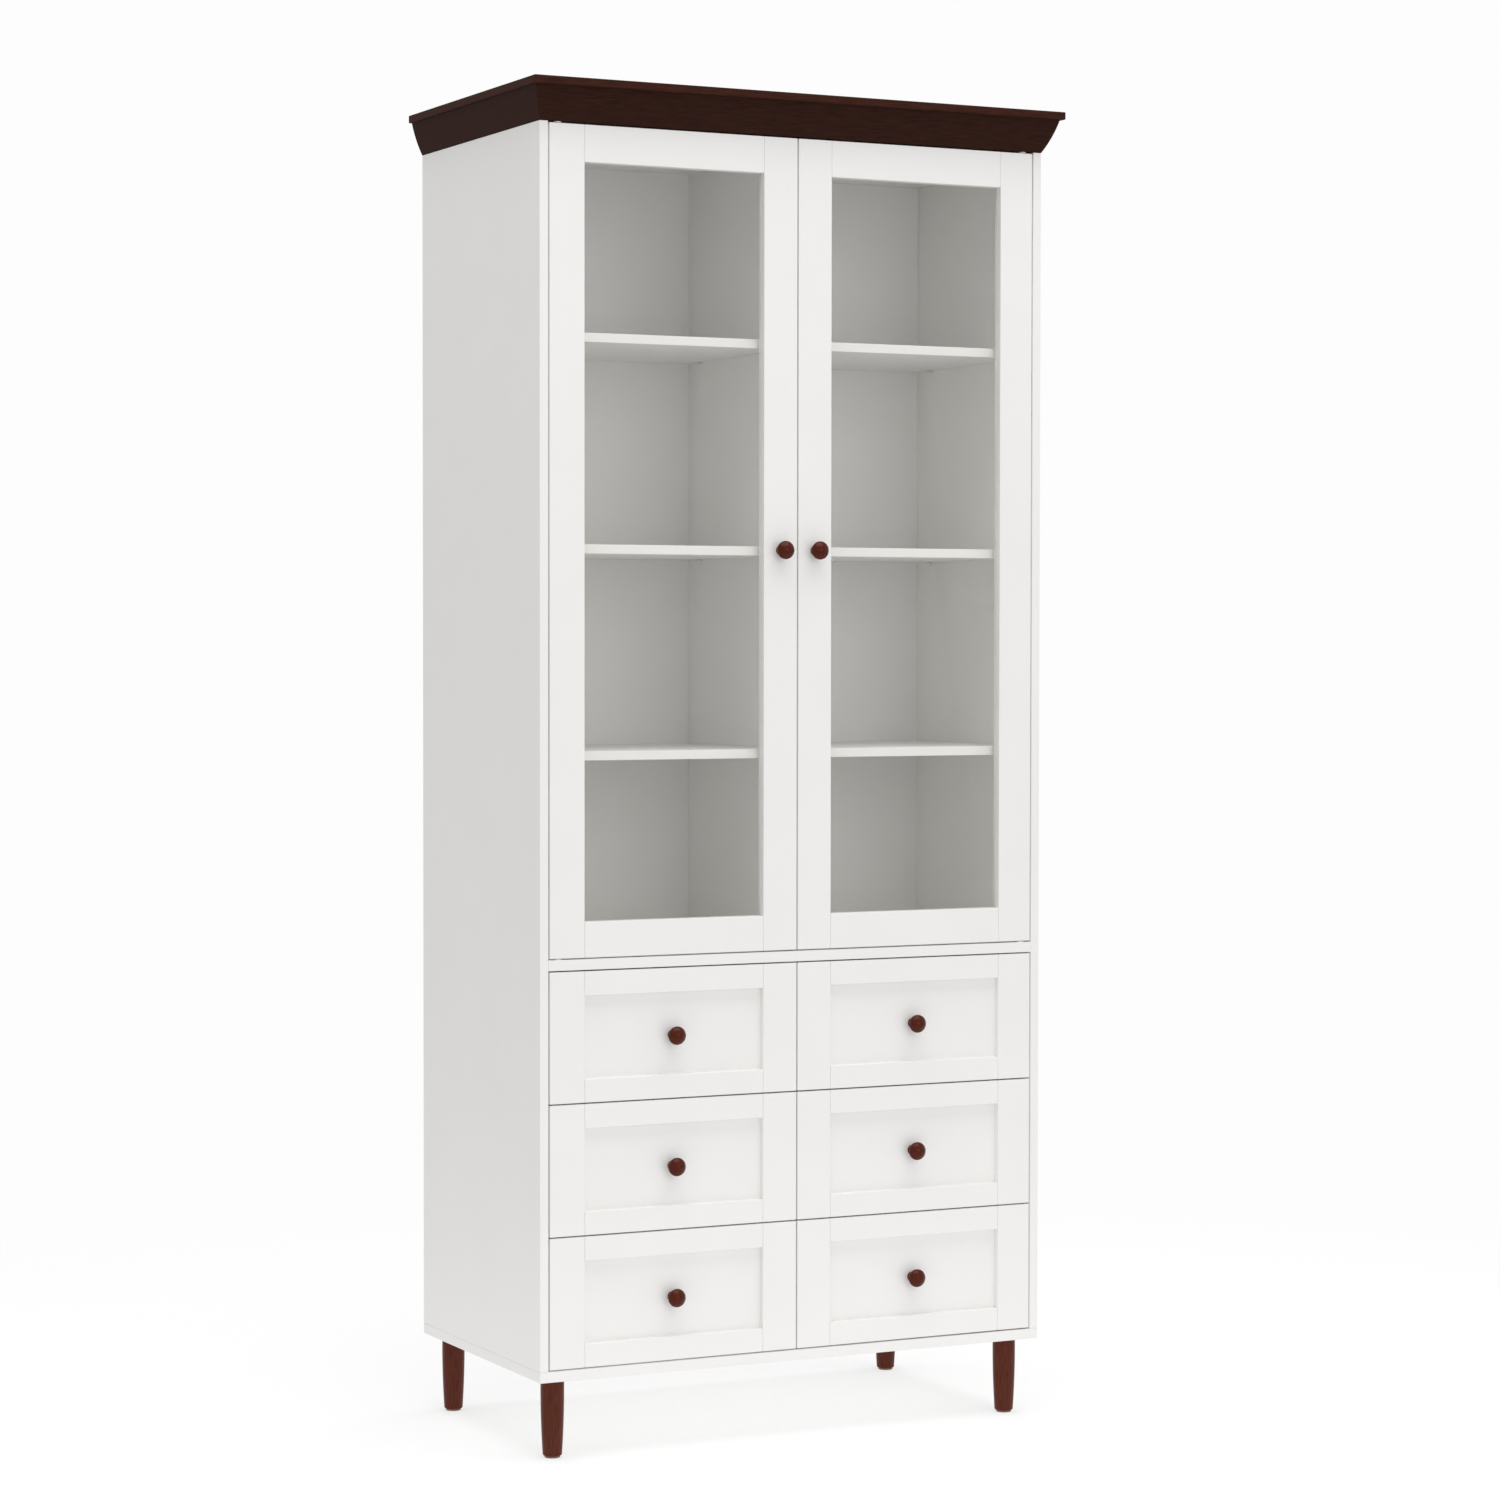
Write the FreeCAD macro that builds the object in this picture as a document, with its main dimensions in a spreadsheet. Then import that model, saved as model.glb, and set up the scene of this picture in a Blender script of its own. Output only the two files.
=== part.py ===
import FreeCAD, Part
import math
import os
import re

import Sketcher

# China cabinet with two glass doors over six drawers, in millimetres.
# Origin: on the floor, under the middle of the cabinet's overall box. +Z up, -Y towards the user.
# The left half of the furniture is modelled, and the right half mirrors it in the plane X = 0.

doc = FreeCAD.newDocument("china_cabinet")

# ---------------------------------------------------------------------------------------------
# Driving dimensions
# ---------------------------------------------------------------------------------------------

DRIVING = (
    ("case_width", 800, "outside of one side panel to the other"),
    ("case_depth", 438, "front edge of a side panel to its rear edge"),
    ("leg_height", 112.5, "floor to the underside of the base panel"),
    ("side_board", 13, "thickness of a side panel and of the partitions"),
    ("base_board", 15, "thickness of the base panel"),
    ("divider_board", 15, "thickness of the shelf between drawers and doors"),
    ("top_board", 16, "thickness of the inner top panel"),
    ("shelf_board", 13, "thickness of a loose shelf"),
    ("edge_ease", 0.6, "rounding of every board's edges"),
    ("reveal", 2, "gap round each door and drawer front"),
    ("back_sheet", 5, "thickness of the back panel"),
    ("back_inset", 88, "face of the back panel to the rear edge of the case"),
    ("door_swing", 7, "back of a closed door to the shelves, for the door's corner to pass"),
    ("front_play", 2, "back of a closed door or front to the partitions"),
    # crown
    ("crown_rise", 46, "height of the crown moulding"),
    ("cap_board", 11, "thickness of the board on top of the crown"),
    ("cap_side", 21.5, "how far the cap stands out past a side panel"),
    ("cap_front", 34, "how far the cap stands out past the front"),
    ("crown_side", 16.3, "how far the side moulding leans out"),
    ("crown_front", 25.8, "how far the front moulding leans out"),
    ("crown_bulge", 155, "radius of the moulding's swelling face"),
    ("crown_block", 18, "thickness of the moulding at its foot"),
    # doors
    ("door_height", 1155, "height of a door"),
    ("face_board", 18, "thickness of doors and drawer fronts"),
    ("stile", 53, "width of every upright frame member"),
    ("door_rail_top", 51.8, "height of a door's top rail"),
    ("door_rail_foot", 50, "height of a door's bottom rail"),
    ("glass_set", 11.5, "face of the door to the face of its glass"),
    ("glass_sheet", 4, "thickness of the glass"),
    ("glass_lap", 8, "width of the step that holds the glass"),
    ("glass_play", 0.5, "play between the glass and its step"),
    ("pivot_in", 14, "outer edge of a door to its pivot's axis"),
    ("pivot_back", 6, "face of a door to its pivot's axis"),
    ("pivot_pin", 2.5, "radius of a pivot pin"),
    ("pivot_play", 0.05, "radial play of a pin in its bush"),
    ("pivot_sunk", 25, "length of a pivot pin inside the door"),
    ("bush_radius", 4, "outer radius of a pivot bush"),
    ("bush_depth", 12, "length of a bush inside its board"),
    ("bush_rim_radius", 5.5, "radius of a bush's rim"),
    ("bush_rim", 1.4, "thickness of a bush's rim"),
    # drawers
    ("drawer_face", 183.4, "height of a drawer front"),
    ("drawer_rail_top", 34, "height of a drawer front's top rail"),
    ("drawer_rail_foot", 33, "height of a drawer front's bottom rail"),
    ("panel_set", 9.5, "face of a drawer front to its sunk panel"),
    ("panel_sheet", 5, "thickness of the sunk panel"),
    ("panel_lap", 6, "width of the step that holds the panel"),
    ("box_rear_play", 20, "rear of a closed drawer box to the back panel"),
    ("box_headroom", 41.4, "top of a drawer box to the top of its front"),
    ("box_lift", 22, "foot of a drawer front to the foot of its box"),
    ("box_board", 12, "thickness of a drawer box's boards"),
    ("box_sheet", 5, "thickness of a drawer's bottom"),
    ("box_sheet_lift", 10, "foot of the box to the underside of its bottom"),
    ("runner_gap", 12.7, "room for one runner beside the drawer box"),
    ("runner_short", 12, "how much shorter a runner is than the drawer box"),
    ("runner_height", 35, "height of the fixed channel"),
    ("runner_metal", 1.2, "thickness of the runners' steel"),
    ("runner_play", 0.5, "play between the two halves of a runner"),
    ("channel_reach", 10, "how far the fixed channel stands off its board"),
    # knobs
    ("knob_head", 26, "diameter of a knob"),
    ("knob_neck", 14.5, "diameter of a knob's foot"),
    ("knob_out", 26, "how far a knob stands out"),
    ("knob_screw", 2, "radius of the knob's screw"),
    ("screw_grip", 12, "length of the screw inside the knob"),
    ("screw_play", 0.3, "radial play of the screw in the boards"),
    ("screw_head", 4.5, "radius of the screw's head"),
    ("screw_head_rise", 2.6, "height of the screw's head"),
    ("door_knob_up", 570, "foot of a door to its knob's centre"),
    ("knob_drop", 3.5, "middle of a drawer front down to its knob's centre"),
    # shelves
    ("shelf_play", 0.5, "gap at each end of a shelf"),
    ("shelf_up_1", 275.7, "top of the divider to the underside of the lowest shelf"),
    ("shelf_up_2", 564.6, "top of the divider to the underside of the middle shelf"),
    ("shelf_up_3", 859, "top of the divider to the underside of the highest shelf"),
    ("peg_radius", 2.5, "radius of a shelf pin"),
    ("peg_sunk", 6, "length of a shelf pin inside its board"),
    ("peg_out", 8, "length of a shelf pin under the shelf"),
    ("peg_inset", 45, "end of a shelf's depth to its pins"),
    # legs
    ("leg_top", 33, "diameter of a leg at its top"),
    ("leg_foot", 27.4, "diameter of a leg at its foot"),
    ("leg_swell", 1400, "radius of the leg's swelling outline"),
    ("leg_toe", 2.7, "rounding of a leg's foot"),
    ("leg_inset", 35, "side panel's outer face to a leg's axis"),
    ("leg_front", 38, "front edge of the case to a front leg's axis"),
    ("leg_rear", 31, "rear edge of the case to a rear leg's axis"),
    ("glide", 2.5, "thickness of the glide under a leg"),
    ("glide_radius", 11, "radius of the glide"),
    ("stud", 4, "radius of the stud that joins a leg to the base"),
    ("stud_sunk", 30, "length of the stud inside the leg"),
    ("stud_up", 9, "length of the stud above the base panel"),
    ("stud_nut", 6.5, "height of the nut on the stud"),
    ("stud_nut_radius", 7.5, "corner radius of the nut"),
    # fittings
    ("cam_radius", 7.5, "radius of a cam lock"),
    ("cam_depth", 9.5, "depth of a cam lock"),
    ("cam_in", 34, "end of a board to its cam locks"),
    ("cam_edge", 60, "front and rear ends of the joint to its cam locks"),
    ("catch_width", 40, "width of a door catch"),
    ("catch_depth", 16, "depth of a door catch"),
    ("catch_height", 12, "height of a door catch"),
    ("catch_in", 38, "middle of the cabinet to the middle of a catch"),
    ("catch_play", 0.5, "gap between a catch and the plate that it holds"),
    ("strike_sheet", 1.5, "thickness of the steel plate on the door"),
    ("bracket_width", 40, "width of a wall bracket"),
    ("bracket_leg", 55, "length of each leaf of a wall bracket"),
    ("bracket_metal", 2.5, "thickness of a wall bracket"),
    ("bracket_in", 300, "middle of the cabinet to the middle of a bracket"),
    ("bracket_hole", 3, "radius of the hole for the wall screw"),
    ("bracket_drop", 38, "underside of the top panel to the wall screw"),
)

# Places that follow from the driving dimensions.
WORKED_OUT = (
    ("front_plane", "-(case_depth - cap_front) / 2"),
    ("rear_plane", "front_plane + case_depth"),
    ("back_depth", "case_depth - back_inset"),
    ("behind_door", "face_board + door_swing"),
    ("behind_front", "face_board + front_play"),
    ("base_top", "leg_height + base_board"),
    ("divider_foot", "base_top + 3 * drawer_face + 4 * reveal"),
    ("divider_top", "divider_foot + divider_board"),
    ("door_foot", "divider_top + reveal"),
    ("case_top", "door_foot + door_height + reveal"),
    ("crown_top", "case_top + crown_rise"),
    ("bay_width", "case_width / 2 - side_board * 3 / 2"),
    ("face_width", "case_width / 2 - side_board - reveal * 3 / 2"),
    ("face_corner", "-case_width / 2 + side_board + reveal"),
    ("box_width", "bay_width - 2 * runner_gap"),
    ("box_corner", "runner_gap - reveal"),
    ("box_depth", "back_depth - box_rear_play - face_board"),
    ("box_height", "drawer_face - box_lift - box_headroom"),
    ("box_back", "face_board + box_depth"),
    ("runner_length", "box_depth - runner_short"),
    ("shelf_depth", "back_depth - behind_door - shelf_play"),
    ("glass_back", "glass_set + glass_sheet"),
    ("mitre", "crown_side / crown_front"),
    # The side moulding is the front one squeezed to its own lean, so that the mitred corners meet.
    ("crown_squeeze", "(crown_rise ^ 2 + crown_side ^ 2) / (crown_rise ^ 2 + crown_front ^ 2)"),
    ("crown_bulge_side", "crown_bulge * crown_squeeze ^ 1.5 / mitre"),
)

owners = {}


def worded(text):
    """Puts the right sheet's name before every size named in a formula."""
    return re.sub(r"[a-z_][a-z_0-9]*", lambda word: owners[word.group()] + "." + word.group(), str(text))


def write_sheet(name, rows):
    page = doc.addObject("Spreadsheet::Sheet", name)
    for line, (alias, content, note) in enumerate(rows, start=1):
        page.set(f"A{line}", alias)
        page.set(f"B{line}", content)
        page.set(f"C{line}", note)
        page.setAlias(f"B{line}", alias)
        owners[alias] = name
        if name == "Places":
            page.set(f"B{line}", "=" + worded(content).replace("Places.", ""))
    return page


sizes = write_sheet("Sizes", [(alias, str(number), note) for alias, number, note in DRIVING])
places = write_sheet("Places", [(alias, text, "worked out") for alias, text in WORKED_OUT])
doc.recompute()


def value(text):
    return float(sizes.evalExpression(worded(text)))


def bind(item, prop, text):
    item.setExpression(prop, worded(text))


def put(item, x="0", y="0", z="0"):
    for axis, text in zip("xyz", (x, y, z)):
        bind(item, "Placement.Base." + axis, text)
    return item


# ---------------------------------------------------------------------------------------------
# Ways of making a piece
# ---------------------------------------------------------------------------------------------

def own_plane(body, role):
    return next(plane for plane in body.Origin.OriginFeatures if plane.Role == role)


def arc_between(start, end, radius, side):
    """The short arc between two points. It swells to the left of the way for side 1, right for -1."""
    chord = end - start
    left = FreeCAD.Vector(-chord.y, chord.x, 0).normalize() * side
    centre = (start + end) / 2 - left * math.sqrt(radius ** 2 - (chord.Length / 2) ** 2)
    first, last = (end, start) if side > 0 else (start, end)
    opening = math.atan2(first.y - centre.y, first.x - centre.x)
    closing = math.atan2(last.y - centre.y, last.x - centre.x)
    if closing < opening:
        closing += 2 * math.pi
    circle = Part.Circle(centre, FreeCAD.Vector(0, 0, 1), radius)
    return Part.ArcOfCircle(circle, opening, closing)


def blank_sketch(body, name, plane, offset):
    sketch = body.newObject("Sketcher::SketchObject", name)
    sketch.AttachmentSupport = [(own_plane(body, plane), "")]
    sketch.MapMode = "FlatFace"
    bind(sketch, "AttachmentOffset.Base.z", offset)
    return sketch


def bind_constraint(sketch, kind, places_of, text):
    number = sketch.addConstraint(Sketcher.Constraint(kind, *places_of, value(text)))
    sketch.setExpression(f"Constraints[{number}]", worded(text))


def outline(body, name, plane, corners, offset="0"):
    """A closed outline. A corner is (x, y), or (x, y, radius, side) where an arc leaves it."""
    sketch = blank_sketch(body, name, plane, offset)
    points = [FreeCAD.Vector(value(corner[0]), value(corner[1]), 0) for corner in corners]
    ends = []
    for start, corner, end in zip(points, corners, points[1:] + points[:1]):
        if len(corner) == 4:
            sketch.addGeometry(arc_between(start, end, value(corner[2]), corner[3]))
            ends.append((2, 1) if corner[3] > 0 else (1, 2))
        else:
            sketch.addGeometry(Part.LineSegment(start, end))
            ends.append((1, 2))
    for this, corner in enumerate(corners):
        following = (this + 1) % len(corners)
        sketch.addConstraint(
            Sketcher.Constraint("Coincident", this, ends[this][1], following, ends[following][0])
        )
        bind_constraint(sketch, "DistanceX", (-1, 1, this, ends[this][0]), corner[0])
        bind_constraint(sketch, "DistanceY", (-1, 1, this, ends[this][0]), corner[1])
        if len(corner) == 4:
            bind_constraint(sketch, "Radius", (this,), corner[2])
    return sketch


def circles(body, name, plane, centres, radius, offset="0"):
    sketch = blank_sketch(body, name, plane, offset)
    for this, (x, y) in enumerate(centres):
        centre = FreeCAD.Vector(value(x), value(y), 0)
        sketch.addGeometry(Part.Circle(centre, FreeCAD.Vector(0, 0, 1), value(radius)))
        bind_constraint(sketch, "DistanceX", (-1, 1, this, 3), x)
        bind_constraint(sketch, "DistanceY", (-1, 1, this, 3), y)
        bind_constraint(sketch, "Radius", (this,), radius)
    return sketch


def cut_in(body, sketch, depth, backwards=False):
    """Cuts a sketch into its body, and makes sure that it took something away."""
    doc.recompute()
    before = body.Shape.Volume
    pocket = body.newObject("PartDesign::Pocket", sketch.Name + "_cut")
    pocket.Profile = sketch
    bind(pocket, "Length", depth)
    pocket.Reversed = backwards
    body.Tip = pocket
    doc.recompute()
    if body.Shape.Volume > before - 1:
        raise RuntimeError(sketch.Name + " cuts nothing")
    return pocket


def ease_edges(body, radius):
    doc.recompute()
    rounding = body.newObject("PartDesign::Fillet", body.Name + "_ease")
    rounding.Base = (body.Tip if body.Tip != rounding else rounding.BaseFeature, [""])
    rounding.UseAllEdges = True
    bind(rounding, "Radius", radius)
    body.Tip = rounding


def board(name, size, corner=("0", "0", "0"), ease="edge_ease"):
    """A flat board with softly rounded edges, from its lowest corner."""
    body = doc.addObject("PartDesign::Body", name)
    block = body.newObject("PartDesign::AdditiveBox", name + "_block")
    for prop, text in zip(("Length", "Width", "Height"), size):
        bind(block, prop, text)
    ease_edges(body, ease)
    return put(body, *corner)


def extruded(name, plane, corners, length, offset="0"):
    """A straight member with the given section."""
    body = doc.addObject("PartDesign::Body", name)
    section = outline(body, name + "_section", plane, corners, offset)
    pad = body.newObject("PartDesign::Pad", name + "_pad")
    pad.Profile = section
    bind(pad, "Length", length)
    body.Tip = pad
    doc.recompute()
    return body


def turned(name, plane, corners):
    """A turned piece: its half outline goes round the sketch's upright axis."""
    body = doc.addObject("PartDesign::Body", name)
    half = outline(body, name + "_outline", plane, corners)
    turn = body.newObject("PartDesign::Revolution", name + "_turn")
    turn.Profile = half
    turn.ReferenceAxis = (half, ["V_Axis"])
    turn.Angle = 360
    body.Tip = turn
    doc.recompute()
    return body


def rod(name, radius, length, corner, turn=None):
    """A plain round rod. It points up, or along +X or +Y where turn says so."""
    item = doc.addObject("Part::Cylinder", name)
    bind(item, "Radius", radius)
    bind(item, "Height", length)
    if turn:
        item.Placement.Rotation = FreeCAD.Rotation(FreeCAD.Vector(0, 0, 1), FreeCAD.Vector(*turn))
    return put(item, *corner)


def copies(name, members, corner=("0", "0", "0"), turn=None):
    """The members, kept as separate solids, moved together."""
    item = doc.addObject("Part::Compound", name)
    item.Links = members
    if turn:
        item.Placement.Rotation = turn
    return put(item, *corner)


def mirrored(name, source):
    """The same piece on the other side of the plane X = 0."""
    item = doc.addObject("Part::Mirroring", name)
    item.Source = source
    item.Normal = FreeCAD.Vector(1, 0, 0)
    return item


nodes = []


def node(item, label):
    """Names a finished sub-part."""
    item.Label = label
    nodes.append(item)
    return item


def both_sides(source, label):
    """The left sub-part and its mirror image, with the side in place of the word SIDE."""
    node(source, label.replace("SIDE", "left"))
    node(mirrored(source.Name + "_mirror", source), label.replace("SIDE", "right"))


# ---------------------------------------------------------------------------------------------
# Carcass
# ---------------------------------------------------------------------------------------------

SHELF_FEET = ("shelf_up_1", "shelf_up_2", "shelf_up_3")
PEG_DEPTHS = ("behind_door + peg_inset", "back_depth - peg_inset")
PEG_SPOTS = [(y, f"divider_top + {foot} - peg_radius") for foot in SHELF_FEET for y in PEG_DEPTHS]


def make_sides():
    side = board(
        "side_panel",
        ("side_board", "case_depth", "case_top - base_top"),
        ("-case_width / 2", "front_plane", "base_top"),
    )
    spots = [(y, f"{z} - base_top") for y, z in PEG_SPOTS]
    holes = circles(side, "side_peg_holes", "YZ_Plane", spots, "peg_radius", "side_board")
    cut_in(side, holes, "peg_sunk")
    both_sides(side, "side_panel_SIDE")


def leg_spots(x_from="0", y_from="0"):
    xs = ("-case_width / 2 + leg_inset", "case_width / 2 - leg_inset")
    ys = ("front_plane + leg_front", "rear_plane - leg_rear")
    return [(f"{x} - ({x_from})", f"{y} - ({y_from})") for x in xs for y in ys]


def make_base():
    base = board(
        "base",
        ("case_width", "case_depth", "base_board"),
        ("-case_width / 2", "front_plane", "leg_height"),
    )
    spots = leg_spots("-case_width / 2", "front_plane")
    holes = circles(base, "base_stud_holes", "XY_Plane", spots, "stud")
    cut_in(base, holes, "base_board", backwards=True)
    node(base, "base_panel")


def cam_spots(length):
    xs = ("cam_in", "case_width - 2 * side_board - cam_in")
    return [(x, y) for x in xs for y in ("cam_edge", f"{length} - cam_edge")]


def make_divider_and_top():
    """Both boards run between the sides and are held by cam locks in their undersides."""
    inner = "case_width - 2 * side_board"
    left = "-case_width / 2 + side_board"
    cam = rod("cam", "cam_radius", "cam_depth", ("0", "0", "0"))
    cams = []
    for name, label, depth, front, foot, thickness in (
        ("divider", "divider_shelf", "back_depth", "front_plane", "divider_foot", "divider_board"),
        ("top", "top_panel", "case_depth - behind_door", "front_plane + behind_door",
         "case_top - top_board", "top_board"),
    ):
        panel = board(name, (inner, depth, thickness), (left, front, foot))
        spots = cam_spots(depth)
        holes = circles(panel, name + "_cam_holes", "XY_Plane", spots, "cam_radius")
        cut_in(panel, holes, "cam_depth", backwards=True)
        for count, (x, y) in enumerate(spots):
            spot = (f"{left} + {x}", f"{front} + {y}", foot)
            cams.append(copies(f"{name}_cam_{count}", [cam], spot))
        if name == "divider":
            axis = [("reveal + pivot_in", "pivot_back"), (f"{inner} - reveal - pivot_in", "pivot_back")]
            bores = circles(panel, "divider_bush_holes", "XY_Plane", axis, "bush_radius", "divider_board")
            cut_in(panel, bores, "bush_depth")
        node(panel, label)
    node(copies("cams", cams), "cam_locks")


def make_partitions():
    size_x, corner_x = "side_board", "-side_board / 2"
    depth = "back_depth - behind_front"
    front = "front_plane + behind_front"
    upper = board(
        "upper_partition_board",
        (size_x, depth, "case_top - top_board - divider_top"),
        (corner_x, front, "divider_top"),
    )
    spots = [(f"{y} - behind_front", f"{z} - divider_top") for y, z in PEG_SPOTS]
    right = circles(upper, "partition_holes_right", "YZ_Plane", spots, "peg_radius", "side_board")
    cut_in(upper, right, "peg_sunk")
    left = circles(upper, "partition_holes_left", "YZ_Plane", spots, "peg_radius")
    cut_in(upper, left, "peg_sunk", backwards=True)
    node(upper, "upper_partition")
    lower = board("lower_partition_board", (size_x, depth, "divider_foot - base_top"),
                  (corner_x, front, "base_top"))
    node(lower, "lower_partition")


def make_back():
    back = board(
        "back",
        ("case_width - 2 * side_board", "back_sheet", "case_top - top_board - base_top"),
        ("-case_width / 2 + side_board", "front_plane + back_depth", "base_top"),
    )
    node(back, "back_panel")


def make_shelves():
    shelves = []
    pegs = []
    for number, foot in enumerate(SHELF_FEET, start=1):
        shelves.append(board(
            f"shelf_{number}",
            ("bay_width - 2 * shelf_play", "shelf_depth", "shelf_board"),
            ("-case_width / 2 + side_board + shelf_play", "front_plane + behind_door",
             f"divider_top + {foot}"),
        ))
    starts = ("-case_width / 2 + side_board - peg_sunk", "-side_board / 2 - peg_out")
    for number, (y, z) in enumerate(PEG_SPOTS):
        for end, x in enumerate(starts):
            spot = (x, f"front_plane + {y}", z)
            pegs.append(rod(f"peg_{number}_{end}", "peg_radius", "peg_sunk + peg_out", spot, (1, 0, 0)))
    both_sides(copies("shelves", shelves), "shelves_SIDE")
    left = copies("pegs", pegs)
    node(copies("all_pegs", [left, mirrored("pegs_mirror", left)]), "shelf_pins")


# ---------------------------------------------------------------------------------------------
# Crown
# ---------------------------------------------------------------------------------------------

def crown_section(reach, bulge):
    """Foot of the block, then the swelling face up to the cap, then the flat back."""
    return [
        ("crown_block", "0"),
        ("0", "0", bulge, 1),
        (f"-{reach}", "crown_rise"),
        ("crown_block", "crown_rise"),
    ]


def make_crown():
    length = "case_width + 2 * crown_side"
    front = extruded("crown_front_moulding", "YZ_Plane", crown_section("crown_front", "crown_bulge"), length)
    put(front, "-case_width / 2 - crown_side", "front_plane", "case_top")
    # The corners are mitred. In plan the mitre runs from the case's corner to the moulding's tip.
    past = "crown_block"
    for name, flip in (("mitre_a", "{}"), ("mitre_b", length + " - ({})")):
        waste = [
            (flip.format(f"-{past} * mitre"), f"-crown_front - {past}"),
            (flip.format(f"crown_side + crown_block * mitre + {past} * mitre"), f"crown_block + {past}"),
            (flip.format(f"-2 * {past}"), f"crown_block + {past}"),
            (flip.format(f"-2 * {past}"), f"-crown_front - {past}"),
        ]
        cut_in(front, outline(front, name, "XY_Plane", waste), "crown_rise", backwards=True)
    pivots = [("crown_side + side_board + reveal + pivot_in", "pivot_back"),
              ("crown_side + case_width - side_board - reveal - pivot_in", "pivot_back")]
    bores = circles(front, "crown_bush_holes", "XY_Plane", pivots, "bush_radius")
    cut_in(front, bores, "bush_depth", backwards=True)
    node(front, "crown_front")

    side = extruded("crown_side_moulding", "XZ_Plane", crown_section("crown_side", "crown_bulge_side"),
                  "case_depth + crown_front", "-case_depth")
    put(side, "-case_width / 2", "front_plane", "case_top")
    waste = [
        (f"-crown_side - {past} * mitre", f"-crown_front - {past}"),
        (f"crown_block + 2 * {past}", f"-crown_front - {past}"),
        (f"crown_block + 2 * {past}", "crown_block"),
        ("crown_block * mitre", "crown_block"),
    ]
    cut_in(side, outline(side, "mitre_side", "XY_Plane", waste), "crown_rise", backwards=True)
    both_sides(side, "crown_SIDE")

    cap = board(
        "cap",
        ("case_width + 2 * cap_side", "case_depth + cap_front", "cap_board"),
        ("-case_width / 2 - cap_side", "front_plane - cap_front", "crown_top"),
        "edge_ease * 2",
    )
    node(cap, "crown_cap")


# ---------------------------------------------------------------------------------------------
# Legs
# ---------------------------------------------------------------------------------------------

def make_legs():
    length = "leg_height - glide"
    leg = turned("leg", "XZ_Plane", [
        ("0", "0"),
        ("leg_foot / 2 - leg_toe", "0", "leg_toe", -1),
        ("leg_foot / 2", "leg_toe", "leg_swell", -1),
        ("leg_top / 2", length),
        ("stud", length),
        ("stud", f"{length} - stud_sunk"),
        ("0", f"{length} - stud_sunk"),
    ])
    stud = rod("leg_stud", "stud", "stud_sunk + base_board + stud_up", ("0", "0", "-stud_sunk"))
    turns = [math.radians(turn) for turn in range(0, 360, 60)]
    hexagon = [(f"stud_nut_radius * {math.cos(turn):.5f}", f"stud_nut_radius * {math.sin(turn):.5f}")
               for turn in turns]
    nut = extruded("leg_nut", "XY_Plane", hexagon, "stud_nut")
    cut_in(nut, circles(nut, "leg_nut_bore", "XY_Plane", [("0", "0")], "stud"), "stud_nut", backwards=True)
    put(nut, "0", "0", "base_board")
    pad = rod("leg_glide", "glide_radius", "glide", ("0", "0", "0"))
    fasteners = []
    glides = []
    for label, (x, y) in zip(("front_left", "back_left", "front_right", "back_right"), leg_spots()):
        node(copies("leg_" + label + "_group", [leg], (x, y, "glide")), "leg_" + label)
        fasteners.append(copies("fastener_" + label, [stud, nut], (x, y, "leg_height")))
        glides.append(copies("glide_" + label, [pad], (x, y, "0")))
    node(copies("fasteners", fasteners), "leg_studs_and_nuts")
    node(copies("glides", glides), "foot_glides")


# ---------------------------------------------------------------------------------------------
# Framed fronts, knobs and their screws
# ---------------------------------------------------------------------------------------------

def frame_members(name, height, top, foot, sunk, lap):
    """Two stiles with two rails between them, and a stopped step at the back for the infill."""
    long, short = "face_width", f"{height}"
    inner = f"{long} - 2 * stile"
    members = {
        "stile_outer": board(name + "_stile_outer", ("stile", "face_board", short)),
        "stile_inner": board(name + "_stile_inner", ("stile", "face_board", short),
                             (f"{long} - stile", "0", "0")),
        "rail_foot": board(name + "_rail_foot", (inner, "face_board", foot), ("stile", "0", "0")),
        "rail_top": board(name + "_rail_top", (inner, "face_board", top),
                          ("stile", "0", f"{short} - {top}")),
    }
    low, high = f"{foot} - {lap}", f"{short} - {top} + {lap}"
    steps = {
        "stile_outer": (f"stile - {lap}", "stile + 1", low, high),
        "stile_inner": ("-1", lap, low, high),
        "rail_foot": ("-1", f"{inner} + 1", f"{foot} - {lap}", f"{foot} + 1"),
        "rail_top": ("-1", f"{inner} + 1", "-1", lap),
    }
    for key, (x0, x1, z0, z1) in steps.items():
        corners = [(x0, z0), (x1, z0), (x1, z1), (x0, z1)]
        step = outline(members[key], f"{name}_{key}_step", "XZ_Plane", corners, f"-({sunk})")
        cut_in(members[key], step, "face_board")
    return members


def make_knob():
    """A mushroom knob that stands out along -Y, with a blind hole for its screw.

    The numbers are shares of its head and of its reach, so that its outline keeps its shape.
    """
    return turned("knob", "XY_Plane", [
        ("0", "-screw_grip"),
        # dome
        ("0", "-knob_out", "knob_head * 0.62", -1),
        # rim, out to the widest place and back in
        ("knob_head * 0.43", "-knob_out * 0.78", "knob_head * 0.19", -1),
        ("knob_head / 2", "-knob_out * 0.6", "knob_head * 0.19", -1),
        # hollow neck
        ("knob_head * 0.3", "-knob_out * 0.42", "knob_head * 0.5", 1),
        ("knob_neck / 2", "0"),
        ("knob_screw", "0"),
        ("knob_screw", "-screw_grip"),
    ])


def knob_screw(name, grip):
    """The screw's shank lies in the knob and the boards. Its head bears on the rear board."""
    shank = rod(name + "_shank", "knob_screw", f"screw_grip + {grip}", ("0", "-screw_grip", "0"), (0, 1, 0))
    head = rod(name + "_head", "screw_head", "screw_head_rise", ("0", grip, "0"), (0, 1, 0))
    return [shank, head]


# ---------------------------------------------------------------------------------------------
# Doors
# ---------------------------------------------------------------------------------------------

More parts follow.
